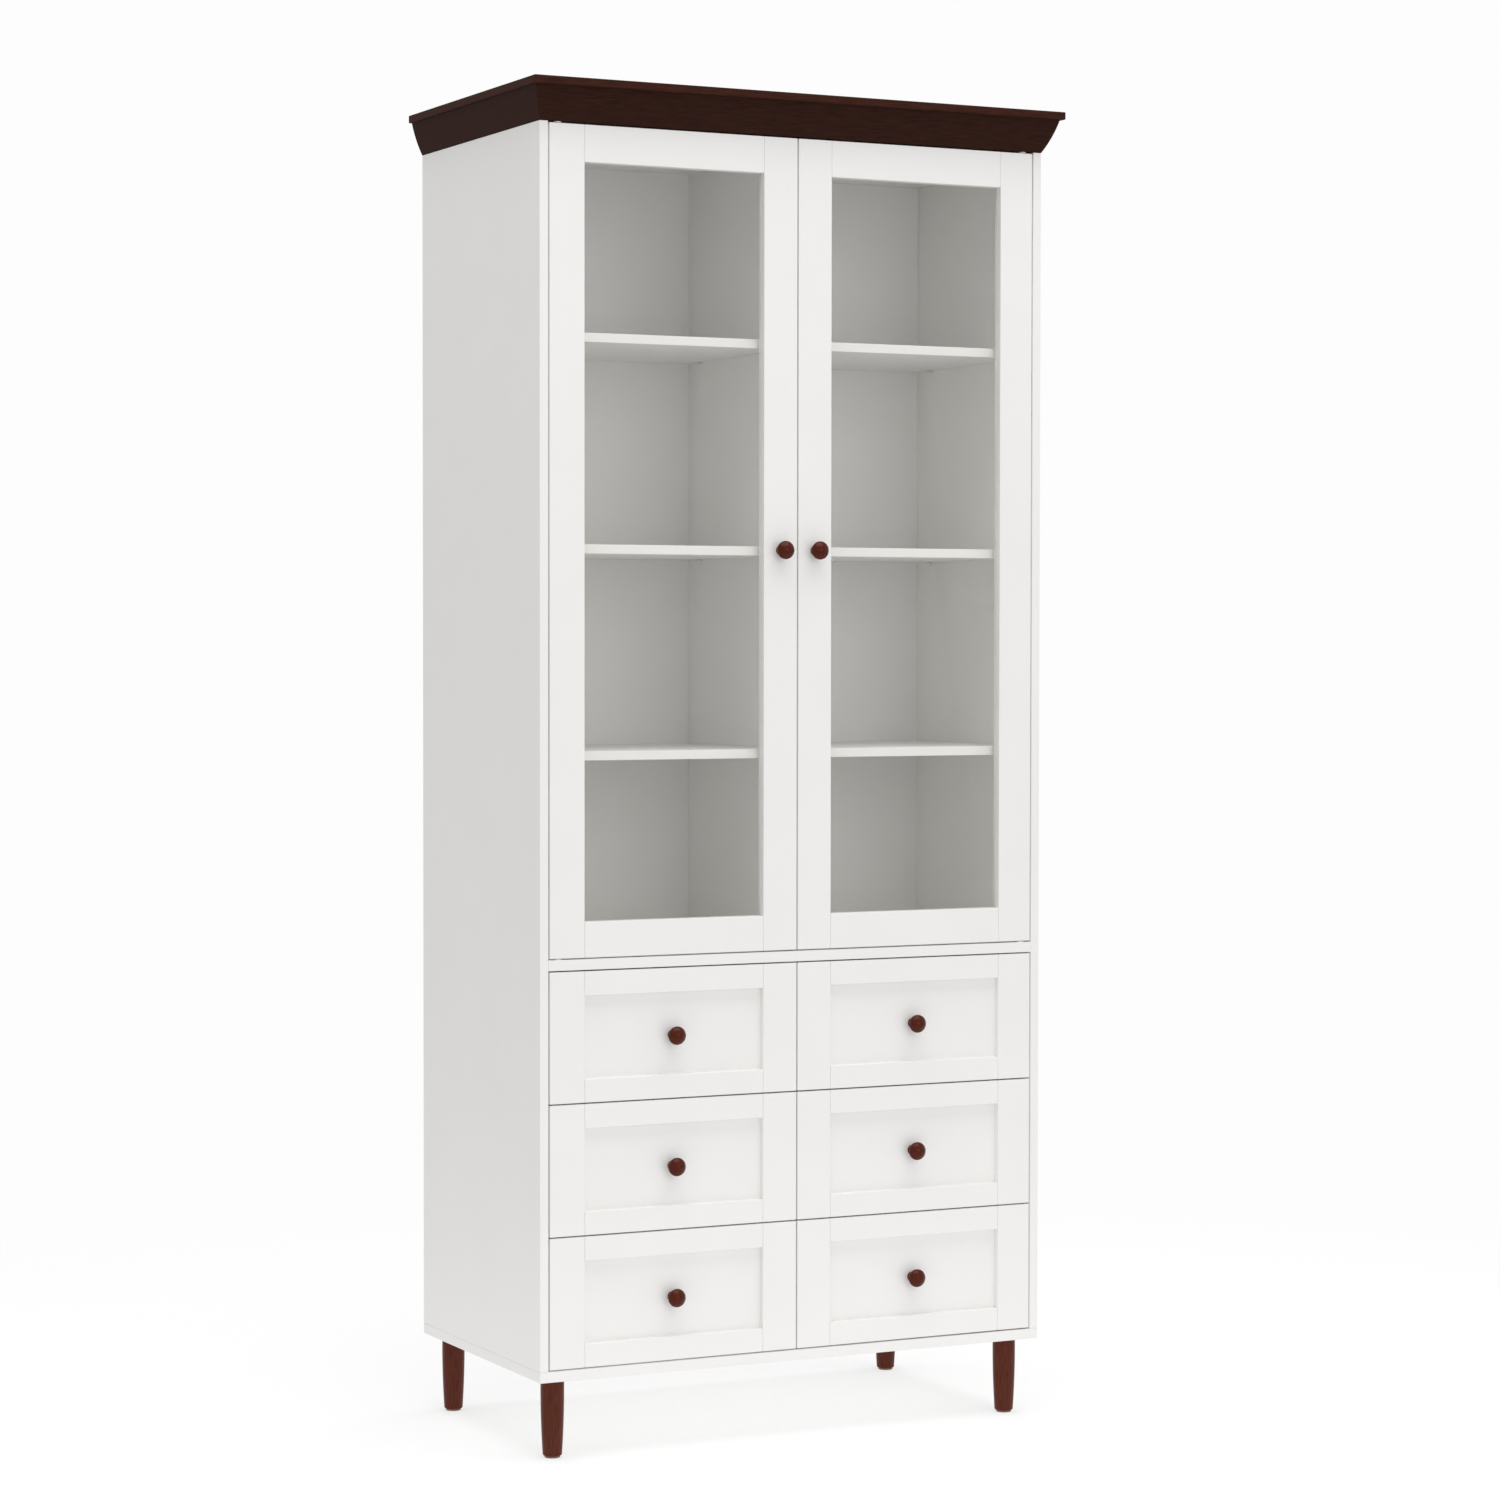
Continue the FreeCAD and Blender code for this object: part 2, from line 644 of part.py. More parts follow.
def make_doors(knob):
    frame = frame_members("door", "door_height", "door_rail_top", "door_rail_foot", "glass_set", "glass_lap")
    outer, inner = frame["stile_outer"], frame["stile_inner"]
    axis = [("pivot_in", "pivot_back")]
    cut_in(outer, circles(outer, "pin_hole_foot", "XY_Plane", axis, "pivot_pin"), "pivot_sunk", backwards=True)
    cut_in(outer, circles(outer, "pin_hole_top", "XY_Plane", axis, "pivot_pin", "door_height"), "pivot_sunk")
    knob_spot = ("face_width - stile / 2", "door_knob_up")
    screw_hole = circles(inner, "door_screw_hole", "XZ_Plane", [("stile / 2", knob_spot[1])],
                         "knob_screw + screw_play")
    cut_in(inner, screw_hole, "face_board")

    corner = ("face_corner", "front_plane", "door_foot")
    both_sides(copies("door_frame", list(frame.values()), corner), "door_SIDE_frame")

    foot, top = "door_rail_foot - glass_lap", "door_height - door_rail_top + glass_lap"
    glass = board(
        "glass",
        ("face_width - 2 * (stile - glass_lap + glass_play)", "glass_sheet",
         f"{top} - ({foot}) - 2 * glass_play"),
        ("stile - glass_lap + glass_play", "glass_set", f"{foot} + glass_play"),
        "edge_ease / 2",
    )
    both_sides(copies("door_glass", [glass], corner), "door_SIDE_glass")

    thick = "face_board - glass_back"
    opening = "face_width - 2 * stile"
    beads = []
    for name, x in (("bead_outer", "stile - glass_lap"), ("bead_inner", "face_width - stile")):
        beads.append(board(name, ("glass_lap", thick, f"{top} - ({foot})"), (x, "glass_back", foot)))
    for name, z in (("bead_foot", foot), ("bead_top", "door_height - door_rail_top")):
        beads.append(board(name, (opening, thick, "glass_lap"), ("stile", "glass_back", z)))
    both_sides(copies("door_beads", beads, corner), "door_SIDE_glass_beads")

    knobs = copies("door_knob_local", [knob], (knob_spot[0], "0", knob_spot[1]))
    both_sides(copies("door_knob", [knobs], corner), "door_SIDE_knob")

    reach = "bush_depth + reveal - 1"
    pins = [
        rod("pin_foot", "pivot_pin", f"pivot_sunk + {reach}", ("pivot_in", "pivot_back", f"-({reach})")),
        rod("pin_top", "pivot_pin", f"pivot_sunk + {reach}",
            ("pivot_in", "pivot_back", "door_height - pivot_sunk")),
    ]
    strike = board(
        "strike",
        ("catch_width * 0.8", "strike_sheet", "catch_height"),
        ("-face_corner - catch_in - catch_width * 0.4", "face_board",
         "case_top - top_board - catch_height - door_foot"),
        "edge_ease / 2",
    )
    screw = copies("door_screw", knob_screw("door_screw", "face_board"), (knob_spot[0], "0", knob_spot[1]))
    both_sides(copies("door_metal", pins + [strike, screw], corner), "door_SIDE_hardware")


def make_pivot_bushes():
    bush = turned("bush", "XZ_Plane", [
        ("pivot_pin + pivot_play", "-bush_depth"),
        ("bush_radius", "-bush_depth"),
        ("bush_radius", "0"),
        ("bush_rim_radius", "0"),
        ("bush_rim_radius", "bush_rim"),
        ("pivot_pin + pivot_play", "bush_rim"),
    ])
    x, y = "face_corner + pivot_in", "front_plane + pivot_back"
    over = FreeCAD.Rotation(FreeCAD.Vector(1, 0, 0), 180)
    left = copies("bushes", [
        copies("bush_foot", [bush], (x, y, "divider_top")),
        copies("bush_top", [bush], (x, y, "case_top"), over),
    ])
    node(copies("all_bushes", [left, mirrored("bushes_mirror", left)]), "door_pivot_bushes")


def make_catches():
    catch = board(
        "catch",
        ("catch_width", "catch_depth", "catch_height"),
        ("-catch_in - catch_width / 2", "front_plane + face_board + strike_sheet + catch_play",
         "case_top - top_board - catch_height"),
        "edge_ease",
    )
    node(copies("catches", [catch, mirrored("catch_mirror", catch)]), "door_catches")


# ---------------------------------------------------------------------------------------------
# Drawers
# ---------------------------------------------------------------------------------------------

def channel_section(reach, height, side):
    """A U of sheet steel, open towards the drawer for side 1 and towards the board for -1."""
    metal = "runner_metal"
    points = [
        ("0", "0"),
        (reach, "0"),
        (reach, metal),
        (metal, metal),
        (metal, f"{height} - {metal}"),
        (reach, f"{height} - {metal}"),
        (reach, height),
        ("0", height),
    ]
    return points if side > 0 else [(f"-({x})", z) for x, z in points]


def make_runners():
    """One fixed channel and one moving bar, for the drawer's left. Both start behind the front."""
    inset = "runner_metal + runner_play"
    channel = extruded("channel", "XZ_Plane", channel_section("channel_reach", "runner_height", 1),
                     "runner_length", "-runner_length")
    bar_height = f"runner_height - 2 * ({inset})"
    bar = extruded("bar", "XZ_Plane", channel_section(f"runner_gap - ({inset})", bar_height, -1),
                 "runner_length", "-runner_length")
    low = "box_lift + box_height / 2 - runner_height / 2"
    start = "behind_front"
    put(channel, "-reveal", start, low)
    put(bar, "box_corner", start, f"{low} + {inset}")
    return channel, bar


def other_end(name, source):
    """The same piece at the drawer's other end, mirrored about the middle of the bay."""
    item = mirrored(name, source)
    bind(item, "Base.x", "bay_width / 2 - reveal")
    return item


def make_drawer_box():
    low, deep = "box_lift", "face_board"
    inner_width = "box_width - 2 * box_board"
    wall = ("box_board", "box_depth", "box_height")
    cross = (inner_width, "box_board", "box_height")
    inside = "box_corner + box_board"
    front = board("box_front", cross, (inside, deep, low))
    hole = circles(front, "box_screw_hole", "XZ_Plane",
                   [(f"face_width / 2 - ({inside})", "drawer_face / 2 - knob_drop - box_lift")],
                   "knob_screw + screw_play")
    cut_in(front, hole, "box_board")
    return [
        board("box_left", wall, ("box_corner", deep, low)),
        board("box_right", wall, ("box_corner + box_width - box_board", deep, low)),
        front,
        board("box_rear", cross, (inside, "box_back - box_board", low)),
        board("box_bottom", (inner_width, "box_depth - 2 * box_board", "box_sheet"),
              (inside, f"{deep} + box_board", f"{low} + box_sheet_lift")),
    ]


def make_drawers(knob):
    frame = frame_members("drawer", "drawer_face", "drawer_rail_top", "drawer_rail_foot",
                          "panel_set", "panel_lap")
    panel = board(
        "drawer_panel",
        ("face_width - 2 * (stile - panel_lap)", "panel_sheet",
         "drawer_face - drawer_rail_top - drawer_rail_foot + 2 * panel_lap"),
        ("stile - panel_lap", "panel_set", "drawer_rail_foot - panel_lap"),
    )
    hole = circles(panel, "panel_screw_hole", "XZ_Plane",
                   [("face_width / 2 - stile + panel_lap",
                     "drawer_face / 2 - knob_drop - drawer_rail_foot + panel_lap")],
                   "knob_screw + screw_play")
    cut_in(panel, hole, "panel_sheet")
    box = make_drawer_box()
    channel, bar = make_runners()
    centre = ("face_width / 2", "panel_set", "drawer_face / 2 - knob_drop")
    knobs = copies("drawer_knob", [knob], centre)
    screw = copies("drawer_screw", knob_screw("drawer_screw", "box_board + face_board - panel_set"), centre)
    metal = [bar, other_end("bar_other", bar), screw]
    channels = [channel, other_end("channel_other", channel)]
    fixed = []
    for row, word in enumerate(("bottom", "middle", "top")):
        corner = ("face_corner", "front_plane", f"base_top + reveal + {row} * (drawer_face + reveal)")
        for part, members in (
            ("front", list(frame.values()) + [panel]),
            ("box", box),
            ("knob", [knobs]),
            ("hardware", metal),
        ):
            group = copies(f"drawer_{word}_{part}_group", members, corner)
            both_sides(group, f"drawer_SIDE_{word}_{part}")
        fixed.append(copies(f"channels_{word}", channels, corner))
    left = copies("channels", fixed)
    node(copies("all_channels", [left, mirrored("channels_mirror", left)]), "runner_channels")


# ---------------------------------------------------------------------------------------------
# Wall brackets
# ---------------------------------------------------------------------------------------------

def make_wall_brackets():
    """An angle under the top panel, behind the back panel, with a hole for a screw in a wall."""
    leaf, metal = "bracket_leg", "bracket_metal"
    bracket = extruded("bracket", "YZ_Plane", [
        ("0", "0"),
        ("0", f"-{leaf}"),
        (f"-{metal}", f"-{leaf}"),
        (f"-{metal}", f"-{metal}"),
        (f"-{leaf}", f"-{metal}"),
        (f"-{leaf}", "0"),
    ], "bracket_width")
    put(bracket, "-bracket_in - bracket_width / 2", "rear_plane", "case_top - top_board")
    hole = circles(bracket, "bracket_screw_hole", "XZ_Plane", [("bracket_width / 2", "-bracket_drop")],
                   "bracket_hole", metal)
    cut_in(bracket, hole, metal)
    node(copies("brackets", [bracket, mirrored("bracket_mirror", bracket)]), "wall_brackets")


# ---------------------------------------------------------------------------------------------
# Build, check and write
# ---------------------------------------------------------------------------------------------

make_sides()
make_base()
make_divider_and_top()
make_partitions()
make_back()
make_shelves()
make_crown()
make_legs()
turned_knob = make_knob()
make_doors(turned_knob)
make_pivot_bushes()
make_catches()
make_drawers(turned_knob)
make_wall_brackets()
doc.recompute()

for item in doc.Objects:
    if {"Invalid", "Error"} & set(item.State):
        raise RuntimeError(f"{item.Name} failed: {item.State}")
for item in nodes:
    if item.Shape.isNull() or not item.Shape.isValid():
        raise RuntimeError(f"{item.Label} has no valid shape")

os.makedirs("parts", exist_ok=True)
for item in nodes:
    item.Shape.exportStep(f"parts/{item.Label}.step")
    print(f"{item.Label}: {len(item.Shape.Solids)} solids, {item.Shape.Volume / 1000:.1f} cm3")
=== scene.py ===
import math

import bmesh
import bpy
from bpy.props import FloatProperty, FloatVectorProperty, PointerProperty
from mathutils import Matrix, Vector


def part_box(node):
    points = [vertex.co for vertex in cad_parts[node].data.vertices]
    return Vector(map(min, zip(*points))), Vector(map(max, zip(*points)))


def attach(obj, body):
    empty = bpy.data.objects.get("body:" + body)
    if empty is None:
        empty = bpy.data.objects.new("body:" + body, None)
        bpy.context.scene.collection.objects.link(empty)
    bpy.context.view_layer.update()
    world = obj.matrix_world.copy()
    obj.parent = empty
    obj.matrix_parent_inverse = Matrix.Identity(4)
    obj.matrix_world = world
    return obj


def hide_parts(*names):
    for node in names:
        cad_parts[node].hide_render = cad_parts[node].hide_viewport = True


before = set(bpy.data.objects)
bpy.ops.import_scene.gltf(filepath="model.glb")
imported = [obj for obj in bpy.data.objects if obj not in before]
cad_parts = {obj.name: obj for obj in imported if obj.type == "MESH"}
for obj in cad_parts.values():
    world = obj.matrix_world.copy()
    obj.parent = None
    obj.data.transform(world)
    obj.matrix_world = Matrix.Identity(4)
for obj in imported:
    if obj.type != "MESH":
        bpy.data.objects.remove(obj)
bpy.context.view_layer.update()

bl_info = {
    "name": "China Cabinet",
    "version": (1, 0, 0),
    "blender": (4, 5, 0),
    "location": "3D View > Sidebar > Cabinet",
    "description": "Dresses the cabinet's frame: lacquered boards, framed doors, stained crown, legs and knobs",
    "category": "Object",
}

MM = 0.001
SIDES = ("left", "right")
ROWS = ("top", "middle", "bottom")


def paint(code):
    """The linear colour of an sRGB hex code."""
    parts = [int(code[place:place + 2], 16) / 255 for place in (1, 3, 5)]
    return [part / 12.92 if part <= 0.04045 else ((part + 0.055) / 1.055) ** 2.4 for part in parts]


# ---- Properties ----

def length(name, description, millimetres):
    return FloatProperty(
        name=name, description=description, default=millimetres * MM, unit="LENGTH", subtype="DISTANCE"
    )


def colour(name, description, code):
    return FloatVectorProperty(
        name=name, description=description, default=paint(code), subtype="COLOR", size=3, min=0, max=1
    )


def angle(name, description, degrees):
    return FloatProperty(
        name=name, description=description, default=math.radians(degrees), unit="ROTATION", subtype="ANGLE"
    )


def power(name, description, watts):
    return FloatProperty(name=name, description=description, default=watts, unit="POWER")


class CabinetSizes(bpy.types.PropertyGroup):
    """Sizes of the finish that the frame leaves open."""

    stile: length("Stile", "Width of the upright members of doors and drawer fronts", 53)
    door_rail_top: length("Door top rail", "Height of a door's top rail", 51.8)
    door_rail_foot: length("Door bottom rail", "Height of a door's bottom rail", 50)
    drawer_rail_top: length("Drawer top rail", "Height of a drawer front's top rail", 34)
    drawer_rail_foot: length("Drawer bottom rail", "Height of a drawer front's bottom rail", 33)
    glass_set: length("Glass set-back", "Face of a door to the face of its glass", 11.5)
    bead_width: length("Glazing strip", "Width of the strips that hold the panes", 8)
    panel_set: length("Panel set-back", "Face of a drawer front to its sunk panel", 9.5)
    panel_sheet: length("Panel sheet", "Thickness of the sunk panels", 5)
    panel_lap: length("Panel lap", "Width of the step behind which a sunk panel lies", 6)
    box_board: length("Box board", "Thickness of the drawer boxes' boards", 12)
    box_sheet: length("Box bottom", "Thickness of the drawer boxes' bottoms", 5)
    box_sheet_lift: length("Box bottom lift", "Foot of a drawer box to the underside of its bottom", 10)
    leg_foot: length("Leg foot", "Diameter of a leg at its foot", 27.4)
    leg_swell: length("Leg swell", "Radius of a leg's swelling outline", 1400)
    crown_bulge: length("Crown bulge", "Radius of the crown's swelling face", 155)
    joint_line: length("Joint line", "Width of the fine line where a rail meets a stile", 0.25)
    board_round: length("Board rounding", "Radius on the edges of lacquered boards", 0.7)
    front_round: length("Front rounding", "Radius on the edges of door and drawer frames", 0.9)
    panel_round: length("Panel rounding", "Radius on the edges of panels and box boards", 0.5)
    glass_arris: length("Glass arris", "Polished edge of the panes", 0.4)
    bead_round: length("Strip rounding", "Radius on the strips that hold the panes", 0.7)
    cap_round: length("Cap rounding", "Radius on the edges of the crown's cap", 1.2)
    ply_layer: length("Ply layer", "Thickness of one veneer in the drawer boxes", 1.5)
    nail_pitch: length("Nail pitch", "Distance between the nails of the back panel", 110)
    brad_pitch: length("Brad pitch", "Distance between the brads of the glazing strips", 140)


class CabinetColours(bpy.types.PropertyGroup):
    """Colours of the cabinet's finishes."""

    lacquer: colour("Lacquer", "Satin white lacquer on the case, doors and drawer fronts", "#f4f3f1")
    # The inner boards and the back panel are set a little darker than the lacquer: the foil's and the
    # fibreboard's own white, with painted shade for the inside of the case.
    inner: colour("Inner boards", "White foil on the boards inside", "#f0efee")
    back: colour("Back panel", "Painted fibreboard back panel", "#eeedec")
    crown: colour("Crown stain", "Very dark brown stain of the crown", "#341e18")
    # The cap's stain is a little lighter and redder than the moulding's.
    crown_lip: colour("Crown lip stain", "Dark brown stain of the crown's cap, worn a little redder", "#3c2119")
    turned: colour("Turned stain", "Reddish brown stain of the legs", "#57281a")
    knob: colour("Knob stain", "Reddish brown stain of the knobs", "#501c0c")
    birch: colour("Birch", "Birch plywood of the drawer boxes", "#d9bd93")
    steel: colour("Steel", "Zinc-plated steel fittings", "#b9bbbd")
    nylon: colour("Nylon", "Moulded nylon bushes and shelf pins", "#e6e4df")
    glide: colour("Glide", "Moulded brown nylon glides under the legs", "#4a2519")
    plastic: colour("Plastic", "Moulded white plastic catches", "#e6e4e0")
    glass: colour("Glass", "Clear float glass, faintly green", "#fdfdfc")
    floor: colour("Floor", "Plain floor, which is lit from below to a pale white", "#a8a8a8")


class CabinetStage(bpy.types.PropertyGroup):
    """Camera and studio light."""

    lens: FloatProperty(name="Lens", description="Focal length", default=92.354, unit="CAMERA")
    camera_at: FloatVectorProperty(
        name="Camera", description="Where the camera stands", default=(-2.50186, -5.09122, 1.14604),
        subtype="TRANSLATION", size=3
    )
    camera_turn: angle("Turn", "View direction, turned from +Y towards +X", 26.391)
    camera_tilt: angle("Tilt", "View direction, raised above level", -1.648)
    camera_roll: angle("Roll", "Turn about the view direction", 0.065)
    sky: FloatProperty(name="Sky", description="Brightness of the soft light all round", default=0.62)
    top_light: power("Top light", "Power of the overhead softbox", 130)
    front_light: power("Front light", "Power of the front softbox", 44)


def sizes():
    return bpy.context.scene.cabinet_sizes


def colours():
    return bpy.context.scene.cabinet_colours


# ---- Nodes and materials ----

def add(tree, kind, inputs=None, **settings):
    """Adds a node with its settings, and links or sets its input sockets."""
    node = tree.nodes.new(kind)
    for name, value in settings.items():
        setattr(node, name, value)
    for socket, source in (inputs or {}).items():
        if isinstance(source, bpy.types.Node):
            source = source.outputs[0]
        if isinstance(source, bpy.types.NodeSocket):
            tree.links.new(source, node.inputs[socket])
        else:
            node.inputs[socket].default_value = source
    return node


def tone(colour_value, share):
    return (*[min(1, part * share) for part in colour_value], 1)


def noise(tree, place, size, detail):
    """A noise pattern whose bumps are about the given number of millimetres across."""
    node = add(tree, "ShaderNodeTexNoise", {"Vector": place, "Scale": 1 / (size * MM), "Detail": detail})
    return node.outputs["Fac"]


def streaks(tree, long, wide, detail, distortion=0.0):
    """A noise pattern in streaks along the grain, about that many millimetres long and wide."""
    spot = add(tree, "ShaderNodeUVMap", uv_map="Grain")
    place = add(tree, "ShaderNodeMapping", {"Vector": spot, "Scale": (1 / (long * MM), 1 / (wide * MM), 1)})
    node = add(tree, "ShaderNodeTexNoise", {
        "Vector": place, "Scale": 1.0, "Detail": detail, "Distortion": distortion
    })
    return node.outputs["Fac"]


def blend(tree, share, first, second):
    """A colour that goes from the first to the second."""
    # The Mix node holds one set of sockets for each kind of data, so its colour ones go by number.
    return add(tree, "ShaderNodeMix", {0: share, 6: first, 7: second}, data_type="RGBA").outputs[2]


def ramp(tree, value, colour_value, dark, light):
    """Shades of one colour. Dark and light are each (value, share of the colour)."""
    node = add(tree, "ShaderNodeValToRGB", {"Fac": value})
    for stop, (position, share) in zip(node.color_ramp.elements, (dark, light)):
        stop.position = position
        stop.color = tone(colour_value, share)
    return node.outputs["Color"]


def spread(tree, value, from_low, from_high, to_low, to_high):
    """Maps a value from one range to another."""
    node = add(tree, "ShaderNodeMapRange", {
        "Value": value, "From Min": from_low, "From Max": from_high, "To Min": to_low, "To Max": to_high
    })
    return node.outputs["Result"]


def bump(tree, height, strength, depth):
    """Fine relief, its depth in millimetres."""
    return add(tree, "ShaderNodeBump", {"Height": height, "Strength": strength, "Distance": depth * MM})


def surface(tree, inputs):
    """Ends a tree with a Principled shader."""
    add(tree, "ShaderNodeOutputMaterial", {"Surface": add(tree, "ShaderNodeBsdfPrincipled", inputs)})


def object_place(tree):
    """The place on the piece, in metres."""
    return add(tree, "ShaderNodeTexCoord").outputs["Object"]


def satin_lacquer(tree, colour_value, gloss=0.36):
    """Acrylic lacquer sprayed on board. Smooth, with a soft sheen and a very faint orange peel."""
    place = object_place(tree)
    # Orange peel has bumps of about 2 mm, and clouding in the coat is about 90 mm across.
    peel = noise(tree, place, 2.2, 2.0)
    cloud = noise(tree, place, 90, 3.0)
    surface(tree, {
        "Base Color": blend(tree, cloud, tone(colour_value, 0.975), tone(colour_value, 1.01)),
        "Roughness": spread(tree, cloud, 0.3, 0.7, gloss - 0.03, gloss + 0.05),
        "IOR": 1.5, "Normal": bump(tree, peel, 0.12, 0.05)
    })


def stained_wood(tree, colour_value, gloss, shine, grain=2.2):
    """Close-grained hardwood, stained and sealed. Fine darker lines run along the grain."""
    # Grain lines are about grain mm apart and 14 times as long. Pores are finer and shorter.
    lines = streaks(tree, grain * 14, grain, 5.0, 0.35)
    pores = streaks(tree, 6, 0.45, 2.0)
    stain = ramp(tree, lines, colour_value, (0.3, 0.72), (0.72, 1.3))
    surface(tree, {
        "Base Color": blend(tree, spread(tree, pores, 0.52, 0.75, 0.0, 0.35), stain, tone(colour_value, 0.5)),
        "Roughness": spread(tree, lines, 0.3, 0.7, gloss - 0.05, gloss + 0.07),
        "Specular IOR Level": shine, "Normal": bump(tree, pores, 0.25, 0.05)
    })


def birch_ply(tree, colour_value):
    """Birch plywood under clear lacquer: pale figured faces, and striped layers on the sawn edges."""
    figure = streaks(tree, 160, 9, 6.0, 0.8)
    face = ramp(tree, figure, colour_value, (0.32, 0.86), (0.7, 1.08))
    layers = add(tree, "ShaderNodeSeparateXYZ", {"Vector": add(tree, "ShaderNodeUVMap", uv_map="Layers")})
    ply = add(tree, "ShaderNodeMath", {0: layers.outputs["X"], 1: math.pi / sizes().ply_layer},
              operation="MULTIPLY")
    wave = add(tree, "ShaderNodeMath", {0: ply}, operation="SINE")
    dark = add(tree, "ShaderNodeMath", {0: wave, 1: 0.0}, operation="GREATER_THAN")
    sawn = add(tree, "ShaderNodeMath", {0: dark, 1: layers.outputs["Y"]}, operation="MULTIPLY")
    surface(tree, {
        "Base Color": blend(tree, sawn, face, tone(colour_value, 0.55)),
        "Roughness": 0.5, "IOR": 1.5, "Normal": bump(tree, figure, 0.15, 0.1)
    })


def zinc_steel(tree, colour_value):
    """Zinc-plated steel. A dull silver with a fine spangle."""
    # The spangle's grains are about 1.5 mm across.
    grains = add(tree, "ShaderNodeTexVoronoi", {"Vector": object_place(tree), "Scale": 1 / (1.5 * MM)})
    spangle = grains.outputs["Distance"]
    surface(tree, {
        "Base Color": blend(tree, spangle, tone(colour_value, 1.05), tone(colour_value, 0.86)),
        "Metallic": 1.0, "Roughness": spread(tree, spangle, 0.0, 0.8, 0.28, 0.42)
    })


def moulded_plastic(tree, colour_value, gloss):
    """Injection-moulded plastic with the fine spark texture of its mould."""
    spark = noise(tree, object_place(tree), 0.6, 1.0)
    surface(tree, {
        "Base Color": blend(tree, spark, tone(colour_value, 0.96), tone(colour_value, 1.02)),
        "Roughness": gloss, "IOR": 1.5, "Normal": bump(tree, spark, 0.2, 0.05)
    })


def float_glass(tree, colour_value):
    """Clear float glass. Lamps shine through it, so that the inside is lit."""
    glass = add(tree, "ShaderNodeBsdfPrincipled", {
        "Base Color": (*colour_value, 1), "Roughness": 0.0, "IOR": 1.5, "Transmission Weight": 1.0
    })
    lamp = add(tree, "ShaderNodeBsdfTransparent", {"Color": (*colour_value, 1)})
    path = add(tree, "ShaderNodeLightPath")
    either = add(tree, "ShaderNodeMath", {
        0: path.outputs["Is Shadow Ray"], 1: path.outputs["Is Diffuse Ray"]
    }, operation="MAXIMUM")
    shader = add(tree, "ShaderNodeMixShader", {0: either, 1: glass, 2: lamp})
    add(tree, "ShaderNodeOutputMaterial", {"Surface": shader})


def matte_floor(tree, colour_value):
    """Plain pale studio floor, slightly mottled, that fades into the white surroundings.

    It is lit a little from below, as a light table is, which keeps its shadows pale.
    """
    place = object_place(tree)
    mottle = add(tree, "ShaderNodeTexNoise", {"Vector": place, "Scale": 1.5, "Detail": 3.0})
    hue = blend(tree, mottle.outputs["Fac"], tone(colour_value, 0.99), tone(colour_value, 1.0))
    away = add(tree, "ShaderNodeVectorMath", {0: place}, operation="LENGTH")
    fade = add(tree, "ShaderNodeMapRange", {
        "Value": away.outputs["Value"], "From Min": 0.7, "From Max": 2.6
    }, interpolation_type="SMOOTHSTEP")
    matte = add(tree, "ShaderNodeBsdfPrincipled", {
        "Base Color": hue, "Roughness": 0.9, "Emission Color": (1, 1, 1, 1), "Emission Strength": 0.6
    })
    open_air = add(tree, "ShaderNodeBsdfTransparent")
    shader = add(tree, "ShaderNodeMixShader", {0: fade.outputs["Result"], 1: matte, 2: open_air})
    add(tree, "ShaderNodeOutputMaterial", {"Surface": shader})


# What each finish is made by, its colour, and its settings.
FINISHES = {
    "satin_white_lacquer": (satin_lacquer, "lacquer", {}),
    # The foil and the fibreboard finishes take those darker colours, which hold painted shade for the inside of
    # the case.
    "white_foil": (satin_lacquer, "inner", {"gloss": 0.42}),
    "painted_fibreboard": (satin_lacquer, "back", {"gloss": 0.55}),
    "dark_stained_wood": (stained_wood, "crown", {"gloss": 0.5, "shine": 0.03}),
    "dark_stained_cap": (stained_wood, "crown_lip", {"gloss": 0.5, "shine": 0.04}),
    "red_stained_wood": (stained_wood, "turned", {"gloss": 0.3, "shine": 0.12, "grain": 1.6}),
    "polished_knob_wood": (stained_wood, "knob", {"gloss": 0.22, "shine": 0.16, "grain": 0.9}),
    "birch_plywood": (birch_ply, "birch", {}),
    "zinc_plated_steel": (zinc_steel, "steel", {}),
    "moulded_nylon": (moulded_plastic, "nylon", {"gloss": 0.45}),
    "brown_nylon": (moulded_plastic, "glide", {"gloss": 0.5}),
    "moulded_plastic": (moulded_plastic, "plastic", {"gloss": 0.35}),
    "float_glass": (float_glass, "glass", {}),
    "studio_floor": (matte_floor, "floor", {}),
}


def finish_of(name):
    """The finish of that name, made the first time it's asked for."""
    if name not in bpy.data.materials:
        item = bpy.data.materials.new(name)
        item.use_nodes = True
        item.node_tree.nodes.clear()
        maker, paint_name, settings = FINISHES[name]
        maker(item.node_tree, getattr(colours(), paint_name), **settings)
    return bpy.data.materials[name]


# ---- Meshes ----

def reach_of(spots):
    """The lowest and highest corner of the box round some points."""
    return tuple(Vector([pick(spot[axis] for spot in spots) for axis in range(3)]) for pick in (min, max))


def islands(node):
    """The lowest and highest corner of each separate solid of a CAD node, sorted."""
    mesh = bmesh.new()
    mesh.from_mesh(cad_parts[node].data)
    bmesh.ops.remove_doubles(mesh, verts=mesh.verts, dist=1e-6)
    left = set(mesh.verts)
    found = []
    while left:
        edge_of = [left.pop()]
        corners = []
        while edge_of:
            vertex = edge_of.pop()
            corners.append(vertex.co.copy())
            for edge in vertex.link_edges:
                other = edge.other_vert(vertex)
                if other in left:
                    left.remove(other)
                    edge_of.append(other)
        found.append(reach_of(corners))
    mesh.free()
    return sorted(found, key=lambda box: [round(part, 5) for part in (*box[0], *box[1])])


